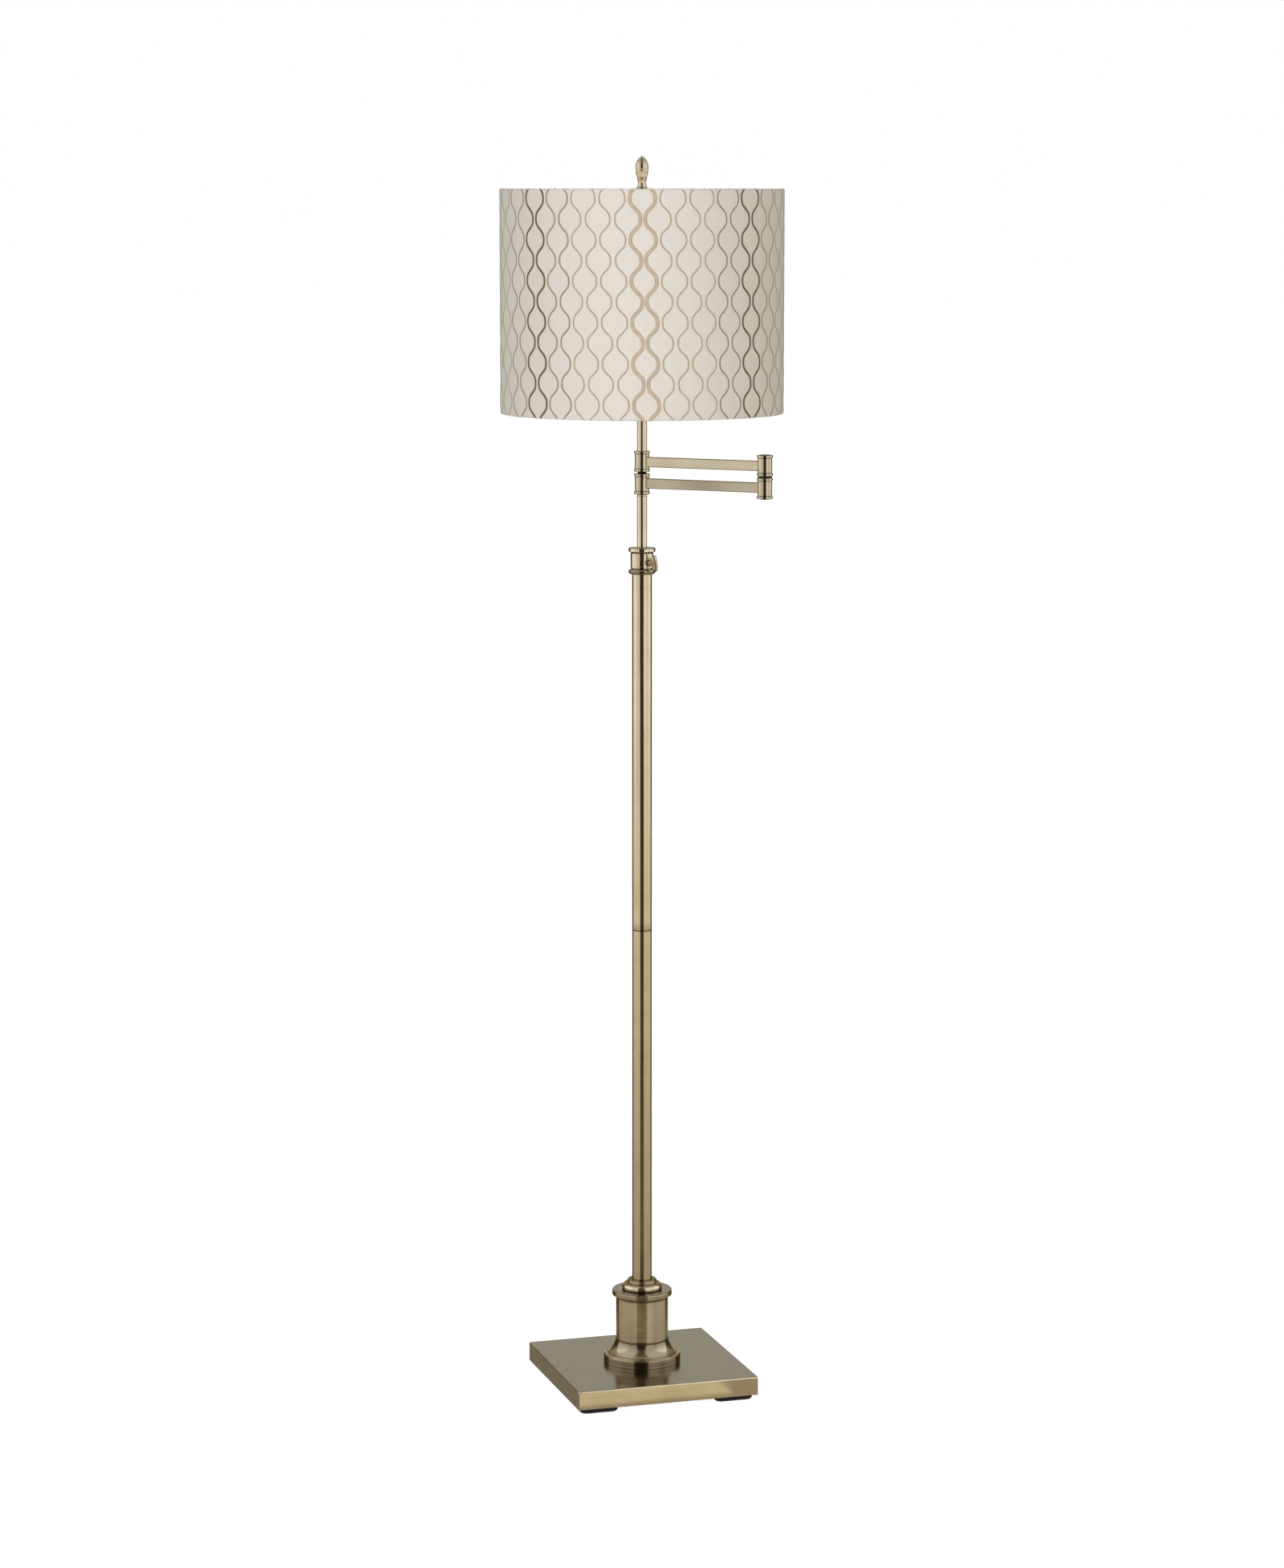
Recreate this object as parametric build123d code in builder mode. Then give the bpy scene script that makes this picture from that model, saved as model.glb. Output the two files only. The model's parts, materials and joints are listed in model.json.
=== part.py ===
import os
from math import cos, radians, sin

from build123d import *

os.makedirs("parts", exist_ok=True)

# A floor lamp with a square weighted base, a telescoping pole and two folding arms that
# carry a drum shade. Sizes are in millimetres. The lamp stands on z = 0 with its pole on
# the Z axis, the front of its base faces -Y, and the folded arms point at the front right
# corner of the base.

# Fits and clearances
running_fit = 0.08  # radial play of a piece that turns or slides in its bore
push_fit = 0.03  # radial play of a piece that is pushed or screwed home
seat_gap = 0.05  # play all round a brazed or glued seat
end_float = 0.1  # play along the axis of a piece that turns
swing_gap = 0.4  # air between pieces that swing past each other
lead_play = 0.2  # radial play of the lead in the bores that it runs through
wire_sides = 8  # flats round a bent wire or lead

# Base
base_side = 240.0
base_height = 24.0
base_corner_radius = 3.0
base_edge_radius = 2.0
base_sheet = 1.5
foot_side = 50.0
foot_height = 7.0
foot_corner_radius = 9.0
foot_edge_chamfer = 1.6
foot_setback = 5.0  # from the side of the base to the pad
bottom_sheet = 1.2
weight_play = 0.5  # from the weight to the walls of the shell
weight_chamfer = 2.0
boss_radius = 7.0
boss_spacing = 116.0
screw_radius = 2.0
screw_head_radius = 4.0
screw_head_height = 2.0
screw_length = 12.0
lead_space = 7.3  # height under the weight where the lead lies
lead_diameter = 3.6
lead_bend = 4.3  # radius of the bends at the pivots
bushing_radius = 3.5
bushing_head_radius = 4.5
bushing_head = 1.6
bushing_length = 9.0

# Tie rod and its nut
tie_rod_radius = 5.0
base_nut_across = 17.0
base_nut_height = 5.0
base_washer_radius = 15.0
base_washer_height = 1.5
nut_recess = 1.5  # from the underside of the weight up to the nut

# Riser between the base and the pole
riser_rim_radius = 50.0
riser_rim_height = 11.0
riser_rim_chamfer = 1.2
riser_foot_height = 30.0
riser_foot_wall = 5.0
riser_flare_hollow = 1.5  # of the flare, inwards and downwards
riser_bead = 1.0  # how far the bead stands out from the column
riser_bead_height = 2.2
riser_column_radius = 33.8
riser_column_height = 64.8
riser_column_wall = 3.0
riser_flange_radius = 38.8
riser_flange_height = 7.4
riser_flange_chamfer = 1.0
riser_cove = 2.6
neck_ring_height = 13.4
neck_ring_radius = 25.8
neck_lip_radius = 19.6
neck_lip_height = 4.6
neck_lip_chamfer = 0.8
neck_foot_height = 3.4
pole_recess = 3.0

# Pole
pole_radius = 12.7
pole_wall = 1.2
lower_pole_length = 463.0
upper_pole_length = 466.0
pole_seam = 0.6  # height of the line between the sections
pole_seam_depth = 0.4
pole_plug_height = 20.0
coupler_length = 50.0
coupler_wall = 4.0

# Height collar and thumbscrew
collar_height = 33.6
collar_radius = 14.6
collar_flange_radius = 17.2
collar_flange_height = 5.4
collar_bead_height = 6.6
collar_groove = 0.8
collar_chamfer = 1.0
collar_socket = 9.0  # depth of the seat for the pole
collar_lip = 3.0
bush_wall = 2.1
bush_height = 9.0
thumb_angle = -69.5
thumb_height = 15.6  # of the screw above the foot of the collar
thumb_shank_radius = 2.5
thumb_boss_radius = 5.6
thumb_boss_reach = 16.4  # from the axis of the pole
thumb_boss_chamfer = 0.8
thumb_ball_radius = 3.6
thumb_ball_reach = 18.6
thumb_wing_reach = 30.5
thumb_wing_width = 20.6
thumb_neck_width = 5.0
thumb_wing_bulge = 2.0
thumb_wing_thickness = 5.0
thumb_wing_chamfer = 1.0
thumb_lean = 8.0  # of the wing from the upright, as it was left

# Stem that slides in the pole
stem_radius = 6.35
stem_wall = 1.2
stem_exposed = 67.6  # from the collar to the lower knuckle
stem_length = 420.0
glide_height = 16.0
pivot_spigot = 14.0
pivot_shoulder = 1.2
pivot_radius = 4.0
thrust_washer_height = 0.8
pivot_nut_across = 9.4
pivot_nut_height = 2.6
pivot_washer_radius = 5.7
pivot_washer_height = 0.6
pivot_head_height = 1.6
pivot_end = 0.3  # how far a journal stands out of its nut
stem_lead_tail = 96.0  # length of lead below the stem
stand_lead_top = 560.0

# Swing arms
arm_angle = -45.0
arm_length = 173.0
bar_height = 12.7
bar_thickness = 6.4
bar_wall = 1.2
bar_corner_radius = 0.9
bar_inset = 0.7  # how far a bar lies off the middle of its knuckle, towards the other bar
bar_end_gap = 0.3  # from the end of a bar to the bore of its knuckle
knuckle_height = 26.2
knuckle_gap = 2.2
knuckle_radius = 9.1
knuckle_flange_radius = 10.0
knuckle_flange_height = 3.4
knuckle_groove = 0.5
knuckle_groove_height = 0.6
knuckle_chamfer = 0.6
knuckle_floor = 4.0
knuckle_plug_height = 2.5
elbow_washer_radius = 8.7
elbow_cap_rise = 0.6
cap_bevel = 45.0  # slope of the rim of a cap

# Socket
socket_tube_exposed = 118.4  # from the upper knuckle to the harp saddle
socket_tube_depth = 6.0  # inside the upper knuckle
nipple_depth = 12.0
nipple_rise = 8.0
nipple_bore = 3.0
socket_neck_radius = 7.5
socket_neck_height = 8.0
socket_cone_height = 10.0
socket_skirt_height = 8.0
socket_radius = 17.0
socket_shell_height = 46.0
socket_sheet = 0.8
socket_bead = 0.6
socket_bead_height = 3.0
socket_lap = 6.0  # how far the shell goes into the cap
sleeve_wall = 0.8
core_height = 20.0
core_rise = 2.0  # from the foot of the shell to the core
screw_shell_height = 24.0
screw_shell_wall = 0.6
knob_radius = 5.0
knob_length = 14.0
knob_gap = 2.0
knob_stem_radius = 2.0
knob_stem_depth = 6.0
knob_hole_play = 0.6
knob_chamfer = 0.8

# Bulb
bulb_base_radius = 12.8
bulb_base_height = 25.0
bulb_radius = 30.0
bulb_length = 84.0
bulb_neck_rise = 12.0
bulb_waist_radius = 21.0
bulb_waist_rise = 32.0
glass_wall = 1.0

# Harp
harp_height = 203.2  # from the saddle to the seat of the shade
harp_wire_radius = 1.8
harp_foot_spread = 56.0
harp_spread = 114.0
harp_pin_height = 12.0
harp_shoulder_rise = 70.0  # of the lower bend above the saddle
harp_shoulder_drop = 60.0  # of the upper bend below the crown
harp_crown = 50.0  # width of the level run at the top
harp_foot_bend = 20.0
harp_side_bend = 30.0
harp_top_bend = 25.0
harp_seat_radius = 6.0
harp_seat_height = 3.0
stud_radius = 2.75
stud_length = 12.0
saddle_width = 14.0
saddle_thickness = 1.6
sleeve_radius = 3.4
sleeve_height = 18.0

# Shade and finial
shade_radius = 177.8
shade_height = 279.4
fabric_thickness = 0.6
liner_thickness = 0.8
ring_wire_radius = 2.0
ring_play = 0.15
hem_depth = 10.0
hem_notch_play = 0.8
spoke_count = 3
spoke_radius = 1.8
spoke_overlap = 4.0
hub_radius = 14.0
hub_thickness = 1.6
hub_drop = 2.1  # of the hub below the rim of the shade
finial_height = 42.9
finial_base_radius = 8.2
finial_base_height = 1.6
finial_neck_radius = 5.0
finial_neck_rise = 9.2
finial_ring_rise = 14.0
finial_ring_radius = 6.1
finial_ring_height = 1.2
finial_bulb_radius = 7.95
finial_bulb_rise = 26.2
finial_shoulder_radius = 5.2
finial_shoulder_rise = 38.0

# Heights, from the floor up
base_bottom = foot_height
base_top = base_bottom + base_height
bottom_cover_top = base_bottom + bottom_sheet
weight_bottom = bottom_cover_top + lead_space
weight_top = base_top - base_sheet
lead_level = bottom_cover_top + lead_space / 2
base_nut_bottom = weight_bottom + nut_recess
base_washer_bottom = base_nut_bottom + base_nut_height + seat_gap
base_washer_top = base_washer_bottom + base_washer_height
riser_seam = base_top + riser_foot_height
riser_top = riser_seam + riser_column_height
neck_top = riser_top + neck_ring_height
pole_bottom = neck_top - pole_recess
seam_bottom = pole_bottom + lower_pole_length
seam_top = seam_bottom + pole_seam
pole_top = seam_top + upper_pole_length
tie_rod_top = pole_bottom + pole_plug_height
collar_bottom = pole_top - collar_socket
collar_top = collar_bottom + collar_height
thumb_level = collar_bottom + thumb_height
lower_knuckle_bottom = collar_top + stem_exposed
lower_knuckle_top = lower_knuckle_bottom + knuckle_height
upper_knuckle_bottom = lower_knuckle_top + knuckle_gap
upper_knuckle_top = upper_knuckle_bottom + knuckle_height
lower_bar_level = lower_knuckle_bottom + knuckle_height / 2 + bar_inset
upper_bar_level = upper_knuckle_bottom + knuckle_height / 2 - bar_inset
shoulder_top = lower_knuckle_bottom - end_float - thrust_washer_height
stem_top = shoulder_top - pivot_shoulder
stem_bottom = stem_top - stem_length
stem_washer_bottom = lower_knuckle_bottom + knuckle_floor + end_float
stem_nut_bottom = stem_washer_bottom + pivot_washer_height + seat_gap
stem_pivot_top = stem_nut_bottom + pivot_nut_height + pivot_end
elbow_head_top = lower_knuckle_top - knuckle_floor
elbow_washer_end = upper_knuckle_bottom + knuckle_floor + end_float
elbow_nut_bottom = elbow_washer_end + pivot_washer_height + seat_gap
elbow_pivot_top = elbow_nut_bottom + pivot_nut_height + pivot_end
socket_tube_top = upper_knuckle_top + socket_tube_exposed
saddle_top = socket_tube_top + saddle_thickness
harp_top = saddle_top + harp_height
hub_top = harp_top + hub_thickness
shade_top = hub_top + hub_drop
shade_bottom = shade_top - shade_height
socket_skirt_bottom = saddle_top + socket_neck_height + socket_cone_height
socket_skirt_top = socket_skirt_bottom + socket_skirt_height
shell_bottom = socket_skirt_top - socket_lap
shell_top = shell_bottom + socket_shell_height
core_bottom = shell_bottom + core_rise
core_top = core_bottom + core_height
knob_level = core_bottom + core_height / 2
bulb_bottom = core_top + screw_shell_wall
glass_bottom = bulb_bottom + bulb_base_height

# Widths and radii that follow from the sizes above
shell_inside = base_side - 2 * base_sheet
weight_side = shell_inside - 2 * weight_play
foot_spacing = base_side - 2 * foot_setback - foot_side
pole_bore = pole_radius - pole_wall
stem_bore = stem_radius - stem_wall
lead_radius = lead_diameter / 2
lead_bore = lead_radius + lead_play
knuckle_bore = stem_radius + push_fit
bush_radius = stem_radius + running_fit + bush_wall
shell_bore = socket_radius - socket_sheet
sleeve_outside = shell_bore - push_fit
core_radius = sleeve_outside - sleeve_wall - push_fit
screw_shell_radius = bulb_base_radius + push_fit + screw_shell_wall
fabric_inside = shade_radius - fabric_thickness
liner_radius = fabric_inside - seat_gap
liner_inside = liner_radius - liner_thickness
ring_radius = liner_inside - ring_play - ring_wire_radius
hem_radius = ring_radius - ring_wire_radius - ring_play - fabric_thickness

# Directions: along the folded arms, and out along the thumbscrew
arm_direction = Vector(cos(radians(arm_angle)), sin(radians(arm_angle)), 0)
arm_across = Vector(sin(radians(arm_angle)), -cos(radians(arm_angle)), 0)
elbow = arm_direction * arm_length
pole_axis = Vector(0, 0, 0)
arm_section = Plane(origin=(0, 0, 0), x_dir=arm_direction, z_dir=arm_across)
thumb_direction = Vector(cos(radians(thumb_angle)), sin(radians(thumb_angle)), 0)
thumb_across = Vector(sin(radians(thumb_angle)), -cos(radians(thumb_angle)), 0)
thumb_face = thumb_across * cos(radians(thumb_lean)) - Vector(0, 0, sin(radians(thumb_lean)))
thumb_section = Plane(origin=(0, 0, thumb_level), x_dir=thumb_direction, z_dir=thumb_face)
thumb_end = Plane(origin=(0, 0, thumb_level), x_dir=(0, 0, 1), z_dir=thumb_direction)
knob_end = Plane(origin=(0, 0, knob_level), x_dir=(1, 0, 0), z_dir=(0, -1, 0))
bushing_end = Plane(origin=(0, base_side / 2, lead_level), x_dir=(-1, 0, 0), z_dir=(0, 1, 0))


def level(height, centre=pole_axis):
    """Horizontal plane at a height, centred on a vertical axis."""
    return Plane(origin=(centre.X, centre.Y, height))


def save(piece, name):
    """Labels a finished piece and writes it to its own file."""
    piece.part.label = name
    export_step(piece.part, f"parts/{name}.step")


# Base: four pads, a closing sheet with its screws, the stamped shell and the cast weight

with BuildPart() as foot_pads:
    with BuildSketch():
        with GridLocations(foot_spacing, foot_spacing, 2, 2):
            RectangleRounded(foot_side, foot_side, foot_corner_radius)
    extrude(amount=foot_height)
    chamfer(foot_pads.edges().group_by(Axis.Z)[0], foot_edge_chamfer)
save(foot_pads, "foot_pads")

with BuildPart() as bottom_cover:
    with BuildSketch(level(base_bottom)):
        Rectangle(weight_side, weight_side)
        with GridLocations(boss_spacing, boss_spacing, 2, 2):
            Circle(screw_radius + running_fit, mode=Mode.SUBTRACT)
    extrude(amount=bottom_sheet)
save(bottom_cover, "bottom_cover")

with BuildPart() as cover_screws:
    with BuildSketch(level(base_bottom)):
        with GridLocations(boss_spacing, boss_spacing, 2, 2):
            Circle(screw_head_radius)
    extrude(amount=-screw_head_height)
    with BuildSketch(level(base_bottom)):
        with GridLocations(boss_spacing, boss_spacing, 2, 2):
            Circle(screw_radius)
    extrude(amount=screw_length)
save(cover_screws, "cover_screws")

with BuildPart() as base_cover:
    with BuildSketch(level(base_bottom)):
        RectangleRounded(base_side, base_side, base_corner_radius)
    extrude(amount=base_height)
    fillet(base_cover.edges().group_by(Axis.Z)[-1], base_edge_radius)
    with BuildSketch(level(base_bottom)):
        Rectangle(shell_inside, shell_inside)
    extrude(amount=base_height - base_sheet, mode=Mode.SUBTRACT)
    with BuildSketch(level(weight_top)):
        Circle(tie_rod_radius + push_fit)
    extrude(amount=base_sheet, mode=Mode.SUBTRACT)
    with BuildSketch(bushing_end):
        Circle(bushing_radius + push_fit)
    extrude(amount=-base_sheet, mode=Mode.SUBTRACT)
save(base_cover, "base_cover")

with BuildPart() as base_weight:
    with BuildSketch(level(weight_bottom)):
        Rectangle(weight_side, weight_side)
    extrude(amount=weight_top - weight_bottom)
    chamfer(base_weight.edges().group_by(Axis.Z)[-1], weight_chamfer)
    with BuildSketch(level(bottom_cover_top)):
        with GridLocations(boss_spacing, boss_spacing, 2, 2):
            Circle(boss_radius)
    extrude(amount=weight_bottom - bottom_cover_top)
    with BuildSketch(level(bottom_cover_top)):
        with GridLocations(boss_spacing, boss_spacing, 2, 2):
            Circle(screw_radius + push_fit)
    extrude(amount=screw_length - bottom_sheet, mode=Mode.SUBTRACT)
    with BuildSketch(level(weight_bottom)):
        Circle(base_washer_radius + weight_play)
    extrude(amount=base_washer_top - weight_bottom, mode=Mode.SUBTRACT)
    with BuildSketch(level(weight_bottom)):
        Circle(tie_rod_radius + push_fit)
    extrude(amount=weight_top - weight_bottom, mode=Mode.SUBTRACT)
save(base_weight, "base_weight")

with BuildPart() as base_nut:
    with BuildSketch(level(base_nut_bottom)):
        RegularPolygon(base_nut_across / 2, 6, major_radius=False)
        Circle(tie_rod_radius + push_fit, mode=Mode.SUBTRACT)
    extrude(amount=base_nut_height)
    with BuildSketch(level(base_washer_bottom)):
        Circle(base_washer_radius)
        Circle(tie_rod_radius + push_fit, mode=Mode.SUBTRACT)
    extrude(amount=base_washer_height)
save(base_nut, "base_nut")

with BuildPart() as tie_rod:
    with BuildSketch(level(base_nut_bottom)):
        Circle(tie_rod_radius)
        Circle(lead_bore, mode=Mode.SUBTRACT)
    extrude(amount=tie_rod_top - base_nut_bottom)
save(tie_rod, "tie_rod")

with BuildPart() as cord_bushing:
    with BuildSketch(bushing_end):
        Circle(bushing_head_radius)
    extrude(amount=bushing_head)
    with BuildSketch(bushing_end):
        Circle(bushing_radius)
    extrude(amount=-bushing_length)
    with BuildSketch(bushing_end.offset(bushing_head)):
        Circle(lead_bore)
    extrude(amount=-bushing_head - bushing_length, mode=Mode.SUBTRACT)
save(cord_bushing, "cord_bushing")

# Riser: a flared foot with a bead, a drum with a flange, and the stepped ring under the pole

with BuildPart() as riser_foot:
    with BuildSketch(Plane.XZ):
        with BuildLine():
            rim_top = base_top + riser_rim_height
            bead_bottom = riser_seam - riser_bead_height
            bead_radius = riser_column_radius + riser_bead
            cove_start = (riser_rim_radius - 2 * riser_rim_chamfer, rim_top)
            cove_end = (riser_column_radius, bead_bottom)
            Polyline(
                (bead_radius - riser_foot_wall, base_top),
                (riser_rim_radius, base_top),
                (riser_rim_radius, rim_top - riser_rim_chamfer),
                (riser_rim_radius - riser_rim_chamfer, rim_top),
                cove_start,
            )
            flare_middle = (
                (cove_start[0] + cove_end[0]) / 2 - riser_flare_hollow,
                (cove_start[1] + cove_end[1]) / 2 - riser_flare_hollow,
            )
            ThreePointArc(cove_start, flare_middle, cove_end)
            Polyline(
                cove_end,
                (bead_radius, bead_bottom + riser_bead),
                (bead_radius, riser_seam - riser_bead / 2),
                (bead_radius - riser_bead / 2, riser_seam),
                (bead_radius - riser_foot_wall, riser_seam),
                (bead_radius - riser_foot_wall, base_top),
            )
        make_face()
    revolve(axis=Axis.Z)
save(riser_foot, "riser_foot")

with BuildPart() as riser_column:
    with BuildSketch(Plane.XZ):
        with BuildLine():
            flange_bottom = riser_top - riser_flange_height
            cove_start = (riser_column_radius, flange_bottom - riser_cove)
            cove_end = (riser_column_radius + riser_cove, flange_bottom)
            column_inside = riser_column_radius - riser_column_wall
            Polyline(
                (column_inside, riser_seam),
                (riser_column_radius, riser_seam),
                cove_start,
            )
            TangentArc(cove_start, cove_end, tangent=(0, 1))
            Polyline(
                cove_end,
                (riser_flange_radius - riser_flange_chamfer, flange_bottom),
                (riser_flange_radius, flange_bottom + riser_flange_chamfer),
                (riser_flange_radius, riser_top - riser_flange_chamfer),
                (riser_flange_radius - riser_flange_chamfer, riser_top),
                (tie_rod_radius + push_fit, riser_top),
                (tie_rod_radius + push_fit, flange_bottom),
                (column_inside, flange_bottom),
                (column_inside, riser_seam),
            )
        make_face()
    revolve(axis=Axis.Z)
save(riser_column, "riser_column")

with BuildPart() as neck_ring:
    with BuildSketch(Plane.XZ):
        with BuildLine():
            ledge = neck_top - neck_lip_height
            belly_start = (neck_ring_radius, riser_top + neck_foot_height)
            belly_end = (neck_lip_radius, ledge)
            Polyline(
                (tie_rod_radius + push_fit, riser_top),
                (neck_ring_radius - neck_lip_chamfer, riser_top),
                (neck_ring_radius, riser_top + neck_lip_chamfer),
                belly_start,
            )
            TangentArc(belly_start, belly_end, tangent=(0, 1))
            Polyline(
                belly_end,
                (neck_lip_radius - neck_lip_chamfer, ledge + neck_lip_chamfer),
                (neck_lip_radius - neck_lip_chamfer, neck_top - neck_lip_chamfer),
                (neck_lip_radius - 2 * neck_lip_chamfer, neck_top),
                (pole_radius + push_fit, neck_top),
                (pole_radius + push_fit, pole_bottom),
                (tie_rod_radius + push_fit, pole_bottom),
                (tie_rod_radius + push_fit, riser_top),
            )
        make_face()
    revolve(axis=Axis.Z)
save(neck_ring, "neck_ring")

# Pole: two tubes, the threaded plug at the foot and the coupler that shows as a thin line

with BuildPart() as pole_plug:
    with BuildSketch(level(pole_bottom)):
        Circle(pole_bore - push_fit)
        Circle(tie_rod_radius + push_fit, mode=Mode.SUBTRACT)
    extrude(amount=pole_plug_height)
save(pole_plug, "pole_plug")

for name, bottom, length in (
    ("lower_pole", pole_bottom, lower_pole_length),
    ("upper_pole", seam_top, upper_pole_length),
):
    with BuildPart() as pole:
        with BuildSketch(level(bottom)):
            Circle(pole_radius)
            Circle(pole_bore, mode=Mode.SUBTRACT)
        extrude(amount=length)
    save(pole, name)

with BuildPart() as pole_coupler:
    with BuildSketch(level(seam_bottom - coupler_length / 2)):
        Circle(pole_bore - push_fit)
    extrude(amount=coupler_length + pole_seam)
    with BuildSketch(level(seam_bottom)):
        Circle(pole_radius - pole_seam_depth)
    extrude(amount=pole_seam)
    with BuildSketch(level(seam_bottom - coupler_length / 2)):
        Circle(pole_bore - push_fit - coupler_wall)
    extrude(amount=coupler_length + pole_seam, mode=Mode.SUBTRACT)
save(pole_coupler, "pole_coupler")

# Height collar with its bush, and the thumbscrew that clamps the stem

with BuildPart() as height_collar:
    with BuildSketch(Plane.XZ):
        with BuildLine():
            bead_top = collar_bottom + collar_bead_height
            bead_inside = collar_flange_radius - collar_bead_height / 2
            flange_bottom = collar_top - collar_flange_height
            groove_radius = collar_radius - collar_groove
            seat = collar_bottom + collar_socket
            lip_bottom = collar_top - collar_lip
            Polyline((pole_radius + push_fit, collar_bottom), (bead_inside, collar_bottom))
            ThreePointArc(
                (bead_inside, collar_bottom),
                (collar_flange_radius, collar_bottom + collar_bead_height / 2),
                (bead_inside, bead_top),
            )
            Polyline(
                (bead_inside, bead_top),
                (groove_radius, bead_top),
                (groove_radius, bead_top + collar_groove),
                (collar_radius, bead_top + 2 * collar_groove),
                (collar_radius, flange_bottom - 2 * collar_groove),
                (groove_radius, flange_bottom - collar_groove),
                (groove_radius, flange_bottom),
                (collar_flange_radius - collar_chamfer, flange_bottom),
                (collar_flange_radius, flange_bottom + collar_chamfer),
                (collar_flange_radius, collar_top - collar_chamfer),
                (collar_flange_radius - collar_chamfer, collar_top),
                (stem_radius + 2 * running_fit, collar_top),
                (stem_radius + 2 * running_fit, lip_bottom),
                (bush_radius + push_fit, lip_bottom),
                (bush_radius + push_fit, seat),
                (pole_radius + push_fit, seat),
                (pole_radius + push_fit, collar_bottom),
            )
        make_face()
    revolve(axis=Axis.Z)
    with BuildSketch(thumb_end.offset(collar_radius - 2 * collar_groove)):
        Circle(thumb_boss_radius)
    extrude(amount=thumb_boss_reach - collar_radius + 2 * collar_groove)
    boss_rim = height_collar.edges().group_by(Axis(pole_axis, thumb_direction))[-1]
    chamfer(boss_rim, thumb_boss_chamfer)
    with BuildSketch(thumb_end):
        Circle(thumb_shank_radius + running_fit)
    extrude(amount=thumb_boss_reach, mode=Mode.SUBTRACT)
save(height_collar, "height_collar")

with BuildPart() as guide_bush:
    with BuildSketch(level(collar_top - collar_lip - bush_height)):
        Circle(bush_radius)
        Circle(stem_radius + running_fit, mode=Mode.SUBTRACT)
    extrude(amount=bush_height)
save(guide_bush, "guide_bush")

with BuildPart() as thumbscrew:
    with BuildSketch(thumb_section):
        with BuildLine():
            wing_corner = thumb_wing_reach - thumb_wing_bulge
            Polyline(
                (wing_corner, -thumb_wing_width / 2),
                (thumb_ball_reach, -thumb_neck_width / 2),
                (thumb_ball_reach, thumb_neck_width / 2),
                (wing_corner, thumb_wing_width / 2),
            )
            ThreePointArc(
                (wing_corner, thumb_wing_width / 2),
                (thumb_wing_reach, 0),
                (wing_corner, -thumb_wing_width / 2),
            )
        make_face()
    extrude(amount=thumb_wing_thickness / 2, both=True)
    chamfer(thumbscrew.edges().filter_by(thumb_section), thumb_wing_chamfer)
    with Locations(thumb_end.offset(thumb_ball_reach)):
        Sphere(thumb_ball_radius)
    split(bisect_by=thumb_end.offset(thumb_boss_reach + end_float), keep=Keep.TOP)
    with BuildSketch(thumb_end.offset(stem_radius + running_fit)):
        Circle(thumb_shank_radius)
    extrude(amount=thumb_boss_reach + end_float - stem_radius - running_fit)
save(thumbscrew, "thumbscrew")

# Stem: the sliding tube, its glide, and the hollow journal that the lower knuckle turns on

with BuildPart() as inner_stem:
    with BuildSketch(level(stem_bottom)):
        Circle(stem_radius)
        Circle(stem_bore, mode=Mode.SUBTRACT)
    extrude(amount=stem_length)
save(inner_stem, "inner_stem")

with BuildPart() as stem_glide:
    with BuildSketch(level(stem_bottom)):
        Circle(pole_bore - running_fit)
        Circle(stem_radius + push_fit, mode=Mode.SUBTRACT)
    extrude(amount=glide_height)
save(stem_glide, "stem_glide")

with BuildPart() as stem_pivot:
    with BuildSketch(level(stem_top - pivot_spigot)):
        Circle(stem_bore - push_fit)
    extrude(amount=pivot_spigot)
    with BuildSketch(level(stem_top)):
        Circle(stem_radius)
    extrude(amount=pivot_shoulder)
    with BuildSketch(level(shoulder_top)):
        Circle(pivot_radius)
    extrude(amount=stem_pivot_top - shoulder_top)
    with BuildSketch(level(stem_top - pivot_spigot)):
        Circle(lead_bore)
    extrude(amount=stem_pivot_top - stem_top + pivot_spigot, mode=Mode.SUBTRACT)
save(stem_pivot, "stem_pivot")

with BuildPart() as thrust_washer:
    with BuildSketch(level(shoulder_top)):
        Circle(stem_radius)
        Circle(pivot_radius + push_fit, mode=Mode.SUBTRACT)
    extrude(amount=thrust_washer_height)
save(thrust_washer, "thrust_washer")

# Nut and washer that hold each journal, inside the lower knuckle and inside the upper elbow

for name, washer_bottom, nut_bottom, centre in (
    ("stem_pivot_nut", stem_washer_bottom, stem_nut_bottom, pole_axis),
    ("elbow_nut", elbow_washer_end, elbow_nut_bottom, elbow),
):
    with BuildPart() as pivot_nut:
        with BuildSketch(level(washer_bottom, centre)):
            Circle(pivot_washer_radius)
            Circle(pivot_radius + push_fit, mode=Mode.SUBTRACT)
        extrude(amount=pivot_washer_height)
        with BuildSketch(level(nut_bottom, centre)):
            RegularPolygon(pivot_nut_across / 2, 6, major_radius=False)
            Circle(pivot_radius + push_fit, mode=Mode.SUBTRACT)
        extrude(amount=pivot_nut_height)
    save(pivot_nut, name)

# Knuckles: four turned drums with a flange at each end, a window for the bar and a floor that
# carries the journal. The floor is at the foot, at the head, or left out where the drum holds
# the socket tube instead.

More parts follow.
